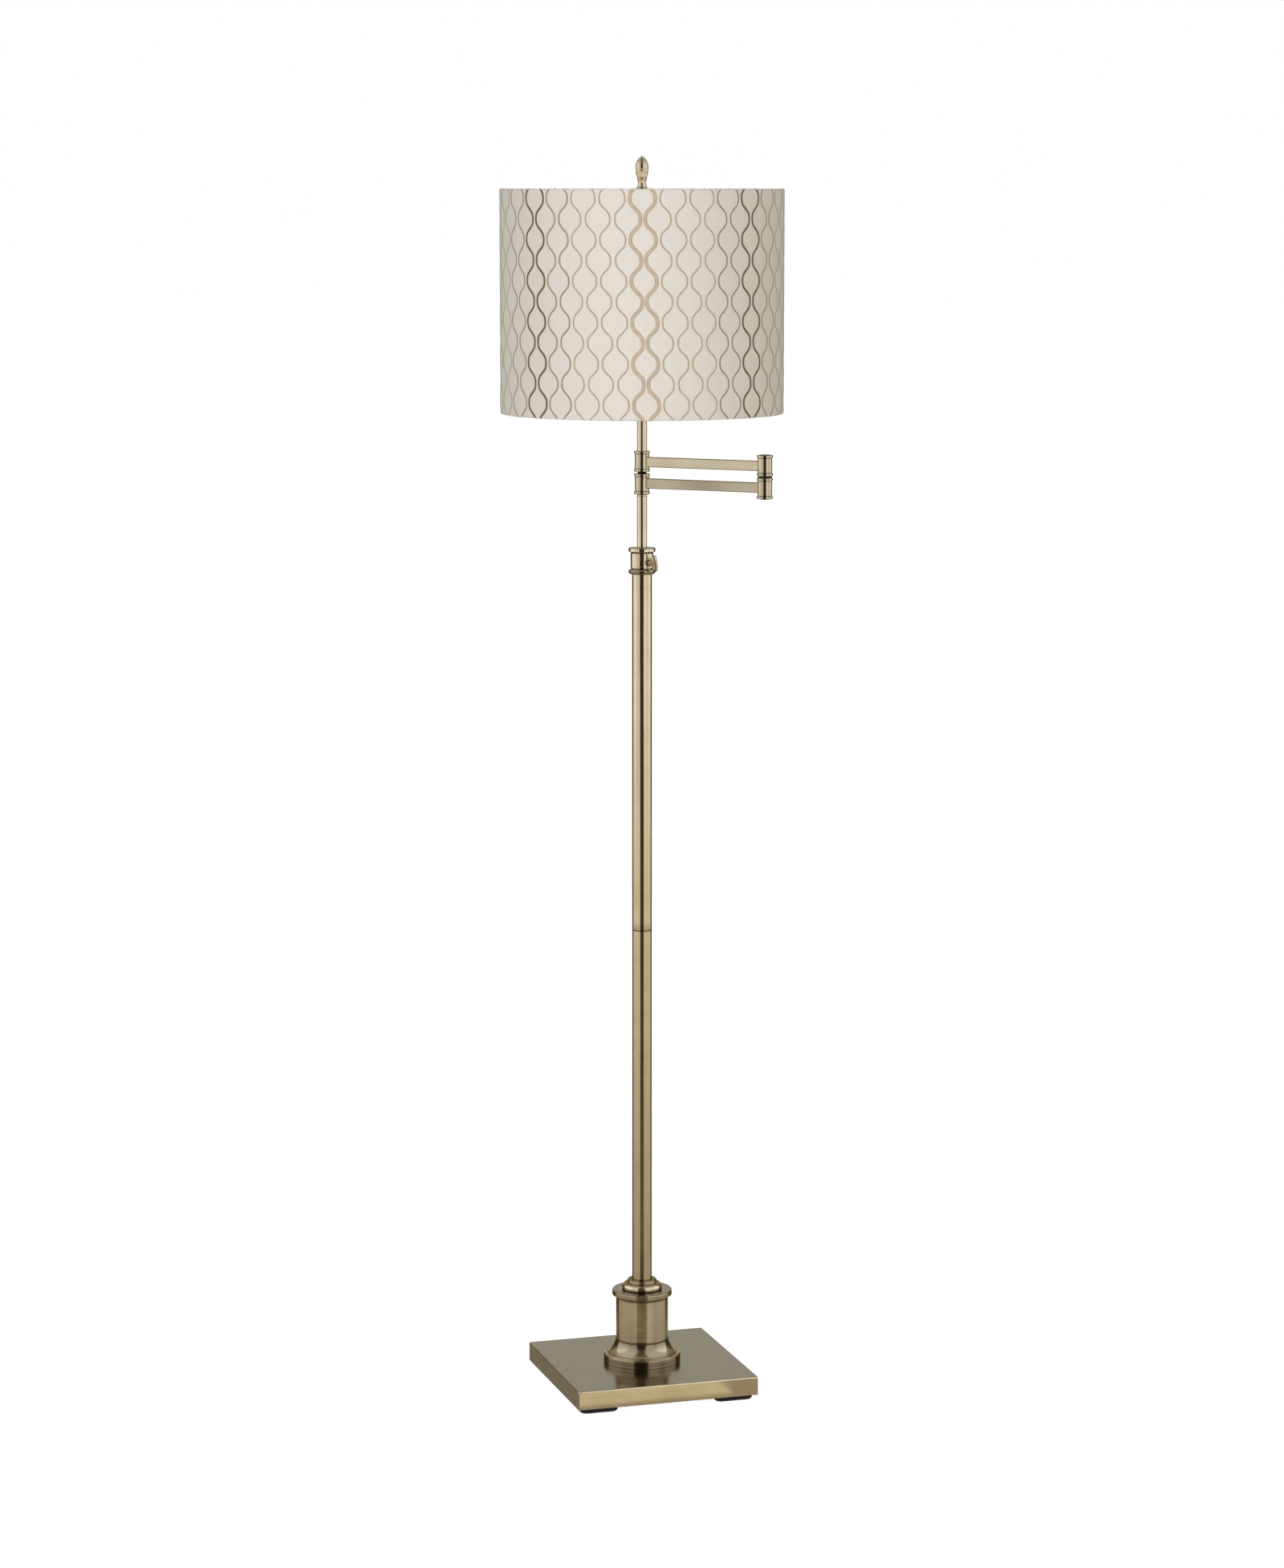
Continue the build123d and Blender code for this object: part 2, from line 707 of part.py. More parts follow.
for name, centre, bottom, bar_level, way, floor_bottom in (
    ("pole_knuckle", pole_axis, lower_knuckle_bottom, lower_bar_level, 1, lower_knuckle_bottom),
    ("lower_elbow", elbow, lower_knuckle_bottom, lower_bar_level, -1, elbow_head_top),
    ("upper_elbow", elbow, upper_knuckle_bottom, upper_bar_level, -1, upper_knuckle_bottom),
    ("socket_knuckle", pole_axis, upper_knuckle_bottom, upper_bar_level, 1, None),
):
    top = bottom + knuckle_height
    drum_section = Plane(origin=(centre.X, centre.Y, 0), x_dir=(1, 0, 0), z_dir=(0, -1, 0))
    window = Plane(
        origin=(centre.X, centre.Y, bar_level), x_dir=arm_across, z_dir=arm_direction * way
    )
    with BuildPart() as knuckle:
        with BuildSketch(drum_section):
            with BuildLine():
                groove_radius = knuckle_radius - knuckle_groove
                low_groove = bottom + knuckle_flange_height
                high_groove = top - knuckle_flange_height
                Polyline(
                    (0, bottom),
                    (knuckle_flange_radius - knuckle_chamfer, bottom),
                    (knuckle_flange_radius, bottom + knuckle_chamfer),
                    (knuckle_flange_radius, low_groove),
                    (groove_radius, low_groove),
                    (groove_radius, low_groove + knuckle_groove_height),
                    (knuckle_radius, low_groove + knuckle_groove_height),
                    (knuckle_radius, high_groove - knuckle_groove_height),
                    (groove_radius, high_groove - knuckle_groove_height),
                    (groove_radius, high_groove),
                    (knuckle_flange_radius, high_groove),
                    (knuckle_flange_radius, top - knuckle_chamfer),
                    (knuckle_flange_radius - knuckle_chamfer, top),
                    (0, top),
                    close=True,
                )
            make_face()
        revolve(axis=Axis((centre.X, centre.Y, 0), (0, 0, 1)))
        with BuildSketch(level(bottom, centre)):
            Circle(knuckle_bore)
        extrude(amount=knuckle_height, mode=Mode.SUBTRACT)
        if floor_bottom is not None:
            with BuildSketch(level(floor_bottom, centre)):
                Circle(knuckle_bore)
                Circle(pivot_radius + running_fit, mode=Mode.SUBTRACT)
            extrude(amount=knuckle_floor)
        with BuildSketch(window):
            Rectangle(bar_thickness + 2 * seat_gap, bar_height + 2 * seat_gap)
        extrude(amount=knuckle_flange_radius, mode=Mode.SUBTRACT)
    save(knuckle, name)

# Bars of the two arms: flat tubes let into the windows of their knuckles

bar_start = knuckle_bore + bar_end_gap
for name, bar_level in (("lower_arm_bar", lower_bar_level), ("upper_arm_bar", upper_bar_level)):
    bar_foot = arm_direction * bar_start
    bar_end = Plane(
        origin=(bar_foot.X, bar_foot.Y, bar_level), x_dir=arm_across, z_dir=arm_direction
    )
    with BuildPart() as bar:
        with BuildSketch(bar_end):
            RectangleRounded(bar_thickness, bar_height, bar_corner_radius)
            Rectangle(
                bar_thickness - 2 * bar_wall, bar_height - 2 * bar_wall, mode=Mode.SUBTRACT
            )
        extrude(amount=arm_length - 2 * bar_start)
    save(bar, name)

# Plugs that close the open ends of the knuckles, three of them with a low bevelled cap outside

for name, centre, face, way, rise in (
    ("pole_knuckle_cap", pole_axis, lower_knuckle_top, 1, knuckle_gap - swing_gap),
    ("lower_elbow_plug", elbow, lower_knuckle_bottom, -1, elbow_cap_rise),
    ("upper_elbow_cap", elbow, upper_knuckle_top, 1, elbow_cap_rise),
    ("socket_knuckle_plug", pole_axis, upper_knuckle_bottom, -1, 0),
):
    mouth = Plane(origin=(centre.X, centre.Y, face), z_dir=(0, 0, way))
    with BuildPart() as plug:
        with BuildSketch(mouth):
            Circle(knuckle_bore - push_fit)
        extrude(amount=-knuckle_plug_height)
        if rise:
            with BuildSketch(mouth):
                Circle(knuckle_bore - push_fit)
            extrude(amount=rise, taper=cap_bevel)
    save(plug, name)

# Elbow: the hollow journal fixed in the lower drum, and the fibre washer between the drums

with BuildPart() as elbow_pivot:
    with BuildSketch(level(elbow_head_top - pivot_head_height, elbow)):
        Circle(pivot_washer_radius)
    extrude(amount=pivot_head_height)
    with BuildSketch(level(elbow_head_top, elbow)):
        Circle(pivot_radius)
    extrude(amount=elbow_pivot_top - elbow_head_top)
    with BuildSketch(level(elbow_head_top - pivot_head_height, elbow)):
        Circle(lead_bore)
    extrude(amount=elbow_pivot_top - elbow_head_top + pivot_head_height, mode=Mode.SUBTRACT)
save(elbow_pivot, "elbow_pivot")

with BuildPart() as elbow_washer:
    with BuildSketch(level(lower_knuckle_top, elbow)):
        Circle(elbow_washer_radius)
        Circle(pivot_radius + push_fit, mode=Mode.SUBTRACT)
    extrude(amount=knuckle_gap - end_float)
save(elbow_washer, "elbow_washer")

# Socket tube, the nipple in its head and the saddle for the harp

with BuildPart() as socket_tube:
    with BuildSketch(level(upper_knuckle_top - socket_tube_depth)):
        Circle(stem_radius)
        Circle(stem_bore, mode=Mode.SUBTRACT)
    extrude(amount=socket_tube_exposed + socket_tube_depth)
save(socket_tube, "socket_tube")

with BuildPart() as socket_nipple:
    with BuildSketch(level(socket_tube_top - nipple_depth)):
        Circle(stem_bore - push_fit)
        Circle(nipple_bore, mode=Mode.SUBTRACT)
    extrude(amount=nipple_depth + saddle_thickness + nipple_rise)
save(socket_nipple, "socket_nipple")

with BuildPart() as harp_saddle:
    with BuildSketch(level(socket_tube_top)):
        SlotCenterToCenter(harp_foot_spread, saddle_width)
        Circle(stem_bore, mode=Mode.SUBTRACT)
    extrude(amount=saddle_thickness)
    with BuildSketch(level(saddle_top)):
        with GridLocations(harp_foot_spread, 0, 2, 1):
            Circle(harp_wire_radius)
    extrude(amount=harp_pin_height)
save(harp_saddle, "harp_saddle")

with BuildPart() as harp_sleeves:
    with BuildSketch(level(saddle_top + seat_gap)):
        with GridLocations(harp_foot_spread, 0, 2, 1):
            Circle(sleeve_radius)
            Circle(harp_wire_radius + push_fit, mode=Mode.SUBTRACT)
    extrude(amount=sleeve_height)
save(harp_sleeves, "harp_sleeves")

with BuildPart() as harp:
    foot_x = harp_foot_spread / 2
    side_x = harp_spread / 2
    foot_z = saddle_top + harp_pin_height + seat_gap
    wire_top = harp_top - harp_seat_height
    right_side = [
        (foot_x, foot_z),
        (foot_x, foot_z + sleeve_height),
        (side_x, saddle_top + harp_shoulder_rise),
        (side_x, wire_top - harp_shoulder_drop),
        (harp_crown / 2, wire_top),
    ]
    left_side = [(-x, z) for x, z in reversed(right_side)]
    bends = [harp_foot_bend, harp_side_bend, harp_side_bend, harp_top_bend]
    with BuildLine(Plane.XZ) as harp_wire:
        FilletPolyline(*right_side, *left_side, radius=bends + bends[::-1])
    with BuildSketch(level(foot_z, Vector(foot_x, 0, 0))):
        RegularPolygon(harp_wire_radius, wire_sides)
    sweep(path=harp_wire.wires()[0])
    with BuildSketch(level(wire_top)):
        Circle(harp_seat_radius)
    extrude(amount=harp_seat_height)
    with BuildSketch(level(harp_top)):
        Circle(stud_radius)
    extrude(amount=stud_length)
save(harp, "harp")

# Socket: cap, shell, paper sleeve, core with the switch, screw shell, and the knob of the switch

with BuildPart() as socket_cap:
    with BuildSketch(Plane.XZ):
        with BuildLine():
            cap_inside = socket_radius + push_fit
            cap_radius = cap_inside + socket_sheet
            neck_top_level = saddle_top + socket_neck_height
            neck_inside = stem_bore
            cone_inside = neck_top_level + 2 * socket_sheet
            Polyline(
                (neck_inside, saddle_top),
                (socket_neck_radius, saddle_top),
                (socket_neck_radius, neck_top_level),
                (cap_radius, socket_skirt_bottom),
                (cap_radius, socket_skirt_top),
                (cap_inside, socket_skirt_top),
                (cap_inside, socket_skirt_bottom + socket_sheet),
                (neck_inside, cone_inside),
                close=True,
            )
        make_face()
    revolve(axis=Axis.Z)
save(socket_cap, "socket_cap")

with BuildPart() as socket_shell:
    with BuildSketch(level(shell_bottom)):
        Circle(socket_radius)
    extrude(amount=socket_shell_height)
    with BuildSketch(level(shell_top - socket_bead_height)):
        Circle(socket_radius + socket_bead)
    extrude(amount=socket_bead_height)
    with BuildSketch(level(shell_bottom)):
        Circle(shell_bore)
    extrude(amount=socket_shell_height, mode=Mode.SUBTRACT)
    with BuildSketch(knob_end):
        Circle(knob_stem_radius + knob_hole_play)
    extrude(amount=2 * socket_radius, mode=Mode.SUBTRACT)
save(socket_shell, "socket_shell")

with BuildPart() as socket_sleeve:
    with BuildSketch(level(shell_bottom)):
        Circle(sleeve_outside)
        Circle(sleeve_outside - sleeve_wall, mode=Mode.SUBTRACT)
    extrude(amount=socket_shell_height - socket_bead_height)
    with BuildSketch(knob_end):
        Circle(knob_stem_radius + knob_hole_play)
    extrude(amount=2 * socket_radius, mode=Mode.SUBTRACT)
save(socket_sleeve, "socket_sleeve")

with BuildPart() as socket_core:
    with BuildSketch(level(core_bottom)):
        Circle(core_radius)
    extrude(amount=core_height)
    with BuildSketch(knob_end.offset(core_radius - knob_stem_depth)):
        Circle(knob_stem_radius + running_fit)
    extrude(amount=knob_stem_depth, mode=Mode.SUBTRACT)
save(socket_core, "socket_core")

with BuildPart() as screw_shell:
    with BuildSketch(level(core_top)):
        Circle(screw_shell_radius)
    extrude(amount=screw_shell_height)
    with BuildSketch(level(bulb_bottom)):
        Circle(screw_shell_radius - screw_shell_wall)
    extrude(amount=screw_shell_height, mode=Mode.SUBTRACT)
save(screw_shell, "screw_shell")

with BuildPart() as switch_knob:
    with BuildSketch(knob_end.offset(socket_radius + knob_gap)):
        Circle(knob_radius)
    extrude(amount=knob_length)
    chamfer(switch_knob.edges().filter_by(GeomType.CIRCLE).sort_by(Axis.Y)[0], knob_chamfer)
    with BuildSketch(knob_end.offset(core_radius - knob_stem_depth + end_float)):
        Circle(knob_stem_radius)
    extrude(amount=socket_radius + knob_gap - core_radius + knob_stem_depth - end_float)
save(switch_knob, "switch_knob")

# Bulb: metal base and hollow glass

with BuildPart() as bulb_base:
    with BuildSketch(level(bulb_bottom)):
        Circle(bulb_base_radius)
    extrude(amount=bulb_base_height)
save(bulb_base, "bulb_base")

with BuildPart() as bulb_glass:
    with BuildSketch(Plane.XZ):
        with BuildLine():
            glass_top = glass_bottom + bulb_length
            globe_level = glass_top - bulb_radius
            neck = (bulb_base_radius, glass_bottom + bulb_neck_rise)
            waist = (bulb_waist_radius, glass_bottom + bulb_waist_rise)
            Polyline((0, glass_bottom), (bulb_base_radius, glass_bottom), neck)
            ThreePointArc(neck, waist, (bulb_radius, globe_level))
            TangentArc((bulb_radius, globe_level), (0, glass_top), tangent=(0, 1))
            Line((0, glass_top), (0, glass_bottom))
        make_face()
    revolve(axis=Axis.Z)
    offset(amount=-glass_wall, openings=bulb_glass.faces().sort_by(Axis.Z)[0])
save(bulb_glass, "bulb_glass")

# Shade: spider, two wire rings, stiff liner and cloth with its hems, and the finial on top

ring_levels = (shade_top - fabric_thickness - ring_play - ring_wire_radius,
               shade_bottom + fabric_thickness + ring_play + ring_wire_radius)

with BuildPart() as shade_spider:
    spoke_start = hub_radius - spoke_overlap
    spoke_end = ring_radius - ring_wire_radius - seat_gap
    with BuildSketch(level(harp_top)):
        Circle(hub_radius)
    extrude(amount=hub_thickness)
    for spoke in range(spoke_count):
        spoke_angle = radians(360 / spoke_count * spoke)
        spoke_way = Vector(cos(spoke_angle), sin(spoke_angle), 0)
        spoke_foot = spoke_way * spoke_start
        with BuildSketch(Plane(origin=(spoke_foot.X, spoke_foot.Y, ring_levels[0]), z_dir=spoke_way)):
            Circle(spoke_radius)
        extrude(amount=spoke_end - spoke_start)
    with BuildSketch(level(harp_top)):
        Circle(stud_radius + running_fit)
    extrude(amount=hub_thickness, mode=Mode.SUBTRACT)
save(shade_spider, "shade_spider")

for name, ring_level in zip(("shade_top_ring", "shade_bottom_ring"), ring_levels):
    with BuildPart() as ring:
        with BuildSketch(Plane.XZ):
            with Locations((ring_radius, ring_level)):
                RegularPolygon(ring_wire_radius, wire_sides)
        revolve(axis=Axis.Z)
    save(ring, name)

with BuildPart() as shade_liner:
    with BuildSketch(level(shade_bottom + fabric_thickness + seat_gap)):
        Circle(liner_radius)
        Circle(liner_inside, mode=Mode.SUBTRACT)
    extrude(amount=shade_height - 2 * (fabric_thickness + seat_gap))
save(shade_liner, "shade_liner")

with BuildPart() as shade_fabric:
    with BuildSketch(Plane.XZ):
        with BuildLine():
            hem_inside = hem_radius + fabric_thickness
            Polyline(
                (shade_radius, shade_bottom),
                (shade_radius, shade_top),
                (hem_radius, shade_top),
                (hem_radius, shade_top - hem_depth),
                (hem_inside, shade_top - hem_depth),
                (hem_inside, shade_top - fabric_thickness),
                (fabric_inside, shade_top - fabric_thickness),
                (fabric_inside, shade_bottom + fabric_thickness),
                (hem_inside, shade_bottom + fabric_thickness),
                (hem_inside, shade_bottom + hem_depth),
                (hem_radius, shade_bottom + hem_depth),
                (hem_radius, shade_bottom),
                close=True,
            )
        make_face()
    revolve(axis=Axis.Z)
    with BuildSketch(level(shade_top - fabric_thickness)):
        with PolarLocations(hem_radius, spoke_count):
            Rectangle(4 * fabric_thickness, 2 * (spoke_radius + hem_notch_play))
    extrude(amount=-hem_depth, mode=Mode.SUBTRACT)
save(shade_fabric, "shade_fabric")

with BuildPart() as finial:
    with BuildSketch(Plane.XZ):
        with BuildLine():
            tip = (0, hub_top + finial_height)
            shoulder = (finial_shoulder_radius, hub_top + finial_shoulder_rise)
            belly = (finial_bulb_radius, hub_top + finial_bulb_rise)
            ring_top = (finial_ring_radius, hub_top + finial_ring_rise + finial_ring_height)
            ring_foot = (finial_ring_radius, hub_top + finial_ring_rise)
            neck = (finial_neck_radius, hub_top + finial_neck_rise)
            base_edge = (finial_base_radius, hub_top + finial_base_height)
            ThreePointArc(tip, shoulder, belly)
            TangentArc(belly, ring_top, tangent=(0, -1))
            Polyline(ring_top, ring_foot, neck)
            TangentArc(neck, base_edge, tangent=(0, -1))
            Polyline(base_edge, (finial_base_radius, hub_top), (0, hub_top), tip)
        make_face()
    revolve(axis=Axis.Z)
    with BuildSketch(level(hub_top)):
        Circle(stud_radius + push_fit)
    extrude(amount=stud_length, mode=Mode.SUBTRACT)
save(finial, "finial")

# Lead: one stretch on each moving body, through the hollow journals and along the bars

for name, points in (
    (
        "stand_lead",
        (
            Vector(0, base_side / 2, lead_level),
            Vector(0, 0, lead_level),
            Vector(0, 0, stand_lead_top),
        ),
    ),
    (
        "lower_arm_lead",
        (
            Vector(0, 0, stem_pivot_top + end_float),
            Vector(0, 0, lower_bar_level),
            elbow + Vector(0, 0, lower_bar_level),
            elbow + Vector(0, 0, elbow_pivot_top),
        ),
    ),
    (
        "upper_arm_lead",
        (
            elbow + Vector(0, 0, elbow_pivot_top + end_float),
            elbow + Vector(0, 0, upper_bar_level),
            Vector(0, 0, upper_bar_level),
            Vector(0, 0, saddle_top + nipple_rise),
        ),
    ),
):
    with BuildPart() as lead:
        with BuildLine() as route:
            FilletPolyline(*points, radius=lead_bend)
        with BuildSketch(Plane(origin=points[0], z_dir=points[1] - points[0])):
            RegularPolygon(lead_radius, wire_sides)
        sweep(path=route.wires()[0])
    save(lead, name)

with BuildPart() as stem_lead:
    with BuildSketch(level(stem_bottom - stem_lead_tail)):
        RegularPolygon(lead_radius, wire_sides)
    extrude(amount=stem_pivot_top - stem_bottom + stem_lead_tail)
save(stem_lead, "stem_lead")
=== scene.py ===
# %% [markdown]
# # A swing arm floor lamp, dressed in Blender
# The lamp's metalwork comes finished from the CAD model: a square weighted base, a turned riser,
# a tall pole with a sliding stem, two flat arms that fold over each other, and the socket, harp
# and drum shade on top. This lesson adds what CAD doesn't hold: the brushed and lacquered brass,
# the embroidered cloth of the shade, and the studio the lamp is photographed in.

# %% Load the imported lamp
import json
from functools import partial
from math import atan2, cos, pi, radians, sin, sqrt, tan

import bpy
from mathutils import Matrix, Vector

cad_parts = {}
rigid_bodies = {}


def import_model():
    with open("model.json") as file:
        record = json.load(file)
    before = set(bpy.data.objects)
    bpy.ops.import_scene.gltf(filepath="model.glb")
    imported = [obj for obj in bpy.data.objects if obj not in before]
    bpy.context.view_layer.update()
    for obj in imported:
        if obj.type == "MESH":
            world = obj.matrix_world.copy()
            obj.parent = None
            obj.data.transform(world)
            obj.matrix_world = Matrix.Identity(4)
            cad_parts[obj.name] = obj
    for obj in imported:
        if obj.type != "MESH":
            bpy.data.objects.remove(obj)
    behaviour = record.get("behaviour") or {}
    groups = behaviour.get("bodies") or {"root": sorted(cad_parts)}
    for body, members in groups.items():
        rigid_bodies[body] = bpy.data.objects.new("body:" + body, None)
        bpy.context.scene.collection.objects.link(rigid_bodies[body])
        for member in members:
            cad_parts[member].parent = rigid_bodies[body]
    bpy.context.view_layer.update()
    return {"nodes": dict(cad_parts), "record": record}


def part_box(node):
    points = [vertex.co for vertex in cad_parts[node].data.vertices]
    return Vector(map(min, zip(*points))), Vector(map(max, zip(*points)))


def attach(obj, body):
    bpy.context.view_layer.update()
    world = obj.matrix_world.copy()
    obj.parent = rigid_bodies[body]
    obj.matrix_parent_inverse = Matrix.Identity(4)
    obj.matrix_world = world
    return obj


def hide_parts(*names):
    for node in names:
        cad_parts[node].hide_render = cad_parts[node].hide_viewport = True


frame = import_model()

# %% [markdown]
# ## The camera
# The photograph looks slightly down at the lamp from its left, through a long lens. The camera
# stands five metres away and is simply aimed at the pole: a shifted lens could give the same
# framing, but a plain tilt matches how the base and the riser's rings open up towards the floor.

# %% Stand the camera
eye = Vector((-1.4936, -4.9161, 1.5396))
aim = Vector((0.0, 0.0, 0.788))
lens_mm = 93.43
sensor_mm = 36.0
view_turn = (aim - eye).to_track_quat("-Z", "Y").to_euler()
bpy.ops.object.camera_add(location=eye, rotation=view_turn)
camera = bpy.context.object
camera.name = "lamp_camera"
camera.data.lens = lens_mm
camera.data.sensor_width = sensor_mm
bpy.context.scene.camera = camera
bpy.context.scene.view_settings.view_transform = "Standard"
print("camera stands", round((aim - eye).length, 3), "m from the pole")

# %% [markdown]
# ## Node helpers
# Materials are small graphs. Placing each node by hand takes four lines, so one helper places a
# node, sets its options and either links or fills each input.


# %% A helper that places nodes
def put(tree, kind, feeds=None, **options):
    """One node in a graph: options are its settings, feeds its inputs by name or number."""
    node = tree.nodes.new(kind)
    for option, value in options.items():
        setattr(node, option, value)
    for socket, value in (feeds or {}).items():
        if isinstance(value, bpy.types.NodeSocket):
            tree.links.new(value, node.inputs[socket])
        else:
            node.inputs[socket].default_value = value
    return node


def reckon(tree, operation, *values):
    """A Math node's result."""
    return put(tree, "ShaderNodeMath", dict(enumerate(values)), operation=operation).outputs[0]


def tint(tree, share, first, second):
    """A colour between two colours."""
    node = put(tree, "ShaderNodeMix", {0: share, 6: first, 7: second}, data_type="RGBA")
    return node.outputs[2]


def fresh_material(name):
    """An empty material and its graph, with the output node in place."""
    material = bpy.data.materials.new(name)
    material.use_nodes = True
    tree = material.node_tree
    tree.nodes.clear()
    return material, tree, put(tree, "ShaderNodeOutputMaterial")


# %% [markdown]
# ## The studio
# The photograph is a lamp cut out on white. A white world does most of that, and rays that leave
# the camera or glance off metal see it at full white, while the light that falls on the lamp is
# kept at a plain level, warm as in the photograph's shaded cloth.


# %% White world
def seen_directly(tree):
    """1 for rays from the camera or off metal and glass, 0 for the light that falls on things."""
    path = put(tree, "ShaderNodeLightPath")
    shiny = reckon(tree, "MAXIMUM", path.outputs["Is Glossy Ray"], path.outputs["Is Transmission Ray"])
    return reckon(tree, "MAXIMUM", path.outputs["Is Camera Ray"], shiny)


ambient_level = 0.24
ambient_colour = (1.0, 0.93, 0.58, 1.0)
white_level = 1.0
pure_white = (1.0, 1.0, 1.0, 1.0)
world = bpy.data.worlds.new("studio_white")
bpy.context.scene.world = world
world.use_nodes = True
sky = world.node_tree
sky.nodes.clear()
soft = put(sky, "ShaderNodeBackground", {"Color": ambient_colour, "Strength": ambient_level})
white = put(sky, "ShaderNodeBackground", {"Color": pure_white, "Strength": white_level})
either = put(sky, "ShaderNodeMixShader", {
    0: seen_directly(sky), 1: soft.outputs[0], 2: white.outputs[0]})
put(sky, "ShaderNodeOutputWorld", {"Surface": either.outputs[0]})
print("the world lights the lamp at", ambient_level, "and is seen at", white_level)

# %% [markdown]
# The floor is a pale plane that glows just enough to look white where nothing shades it, so that
# the lamp's own soft shadow stays. It lies a hair below the pads, so that the two don't flicker,
# and it can be looked through from below, to see the lamp's underside.

# %% Pale floor
floor_size = 90.0
floor_drop = 0.0002
floor_glow = 0.96
floor_lit = (0.7, 0.7, 0.7, 1.0)
floor_seen = (0.3, 0.3, 0.3, 1.0)
bpy.ops.object.select_all(action="DESELECT")
bpy.ops.mesh.primitive_plane_add(size=floor_size, location=(0.0, 0.0, -floor_drop))
floor = bpy.context.object
floor.name = "studio_floor"
floor_paint, tree, out = fresh_material("pale_floor")
seen = seen_directly(tree)
paper = put(tree, "ShaderNodeBsdfDiffuse", {"Color": tint(tree, seen, floor_lit, floor_seen)})
glow = put(tree, "ShaderNodeEmission", {"Strength": reckon(tree, "MULTIPLY", seen, floor_glow)})
both = put(tree, "ShaderNodeAddShader", {0: paper.outputs[0], 1: glow.outputs[0]})
clear = put(tree, "ShaderNodeBsdfTransparent")
from_below = put(tree, "ShaderNodeNewGeometry").outputs["Backfacing"]
one_sided = put(tree, "ShaderNodeMixShader", {0: from_below, 1: both.outputs[0], 2: clear.outputs[0]})
tree.links.new(one_sided.outputs[0], out.inputs["Surface"])
floor.data.materials.append(floor_paint)
print("floor laid at height", floor.location.z)

# %% [markdown]
# Two broad lamps stand in front, one each side of the camera, and one stands behind. They shape
# the cloth of the shade softly and throw the faint shadow. Metal doesn't show them: what metal
# shows is the room, and the next step builds that.

# %% Three soft lamps
towards = Vector((eye.x, eye.y, 0.0)).normalized()
aside = Vector((-towards.y, towards.x, 0.0))


def stand(forward, right, up):
    """A place in the studio, counted from the pole towards the camera, to its right and up."""
    return towards * forward + aside * right + Vector((0.0, 0.0, up))


lamp_height = 1.9
lamp_size = 2.2
lamp_target = Vector((0.0, 0.0, 1.1))
soft_lamps = (
    ("left", 2.7, -2.3, 56.0, (1.0, 1.0, 1.09)),
    ("right", 2.7, 1.5, 41.0, (1.0, 0.985, 1.03)),
    ("back", -3.4, 0.0, 60.0, (1.0, 0.98, 0.94)),
)
for side, forward, right, watts, hue in soft_lamps:
    place = stand(forward, right, lamp_height)
    facing = (lamp_target - place).to_track_quat("-Z", "Y").to_euler()
    bpy.ops.object.light_add(type="AREA", location=place, rotation=facing)
    lamp = bpy.context.object
    lamp.name = "soft_lamp_" + side
    lamp.data.shape = "SQUARE"
    lamp.data.size = lamp_size
    lamp.data.energy = watts
    lamp.data.color = hue
    lamp.visible_glossy = False
    print(lamp.name, "at", [round(v, 2) for v in place])

# %% [markdown]
# Polished brass is drawn by what stands round it. The photograph's pole is bright to the left and
# right, has a thin dark stripe down the middle and darker edges, and fades towards the floor. So
# the studio has cards, as a photographer would hang them: a dark one behind the camera that goes
# on under the ceiling, a grey one behind the lamp, and pale veils at the sides. Two edge cards
# draw the pole's edges, dark low down and lighter above. Only reflections see the cards.


# %% Cards that the metal reflects
def hide_from_light(sheet):
    """Leaves a card to reflections alone."""
    sheet.visible_camera = False
    sheet.visible_diffuse = False
    sheet.visible_transmission = False
    sheet.visible_shadow = False


def bare_card(name, size, place, turn):
    """A flat card that only reflections show, not painted yet."""
    bpy.ops.object.select_all(action="DESELECT")
    bpy.ops.mesh.primitive_plane_add(size=1.0, location=place, rotation=turn)
    sheet = bpy.context.object
    sheet.name = name
    sheet.scale = (size[0], size[1], 1.0)
    bpy.ops.object.transform_apply(location=False, rotation=False, scale=True)
    hide_from_light(sheet)
    return sheet


def card(name, size, place, turn, shade):
    """A flat card of one colour."""
    sheet = bare_card(name, size, place, turn)
    paint, tree, out = fresh_material(name + "_paint")
    glow = put(tree, "ShaderNodeEmission", {"Color": (*shade, 1.0)})
    tree.links.new(glow.outputs[0], out.inputs["Surface"])
    sheet.data.materials.append(paint)


upright = towards.to_track_quat("Z", "Y").to_euler()
lying = (0.0, 0.0, atan2(towards.x, -towards.y))
hung_cards = (
    ("dark_card", (5.4, 8.6), (6.6, -0.4, 4.3), upright, (0.03, 0.021, 0.008)),
    ("grey_card", (2.8, 3.6), (-3.0, 0.0, 1.8), upright, (0.66, 0.66, 0.6)),
    ("ceiling_card", (14.0, 14.0), (0.0, 0.0, 6.2), lying, (0.55, 0.54, 0.5)),
    ("dark_ceiling_card", (2.6, 6.4), (3.5, -0.2, 5.4), lying, (0.09, 0.07, 0.045)),
)
for name, size, steps, turn, shade in hung_cards:
    card(name, size, stand(*steps), turn, shade)
print("cards before, behind and above:", len(hung_cards))

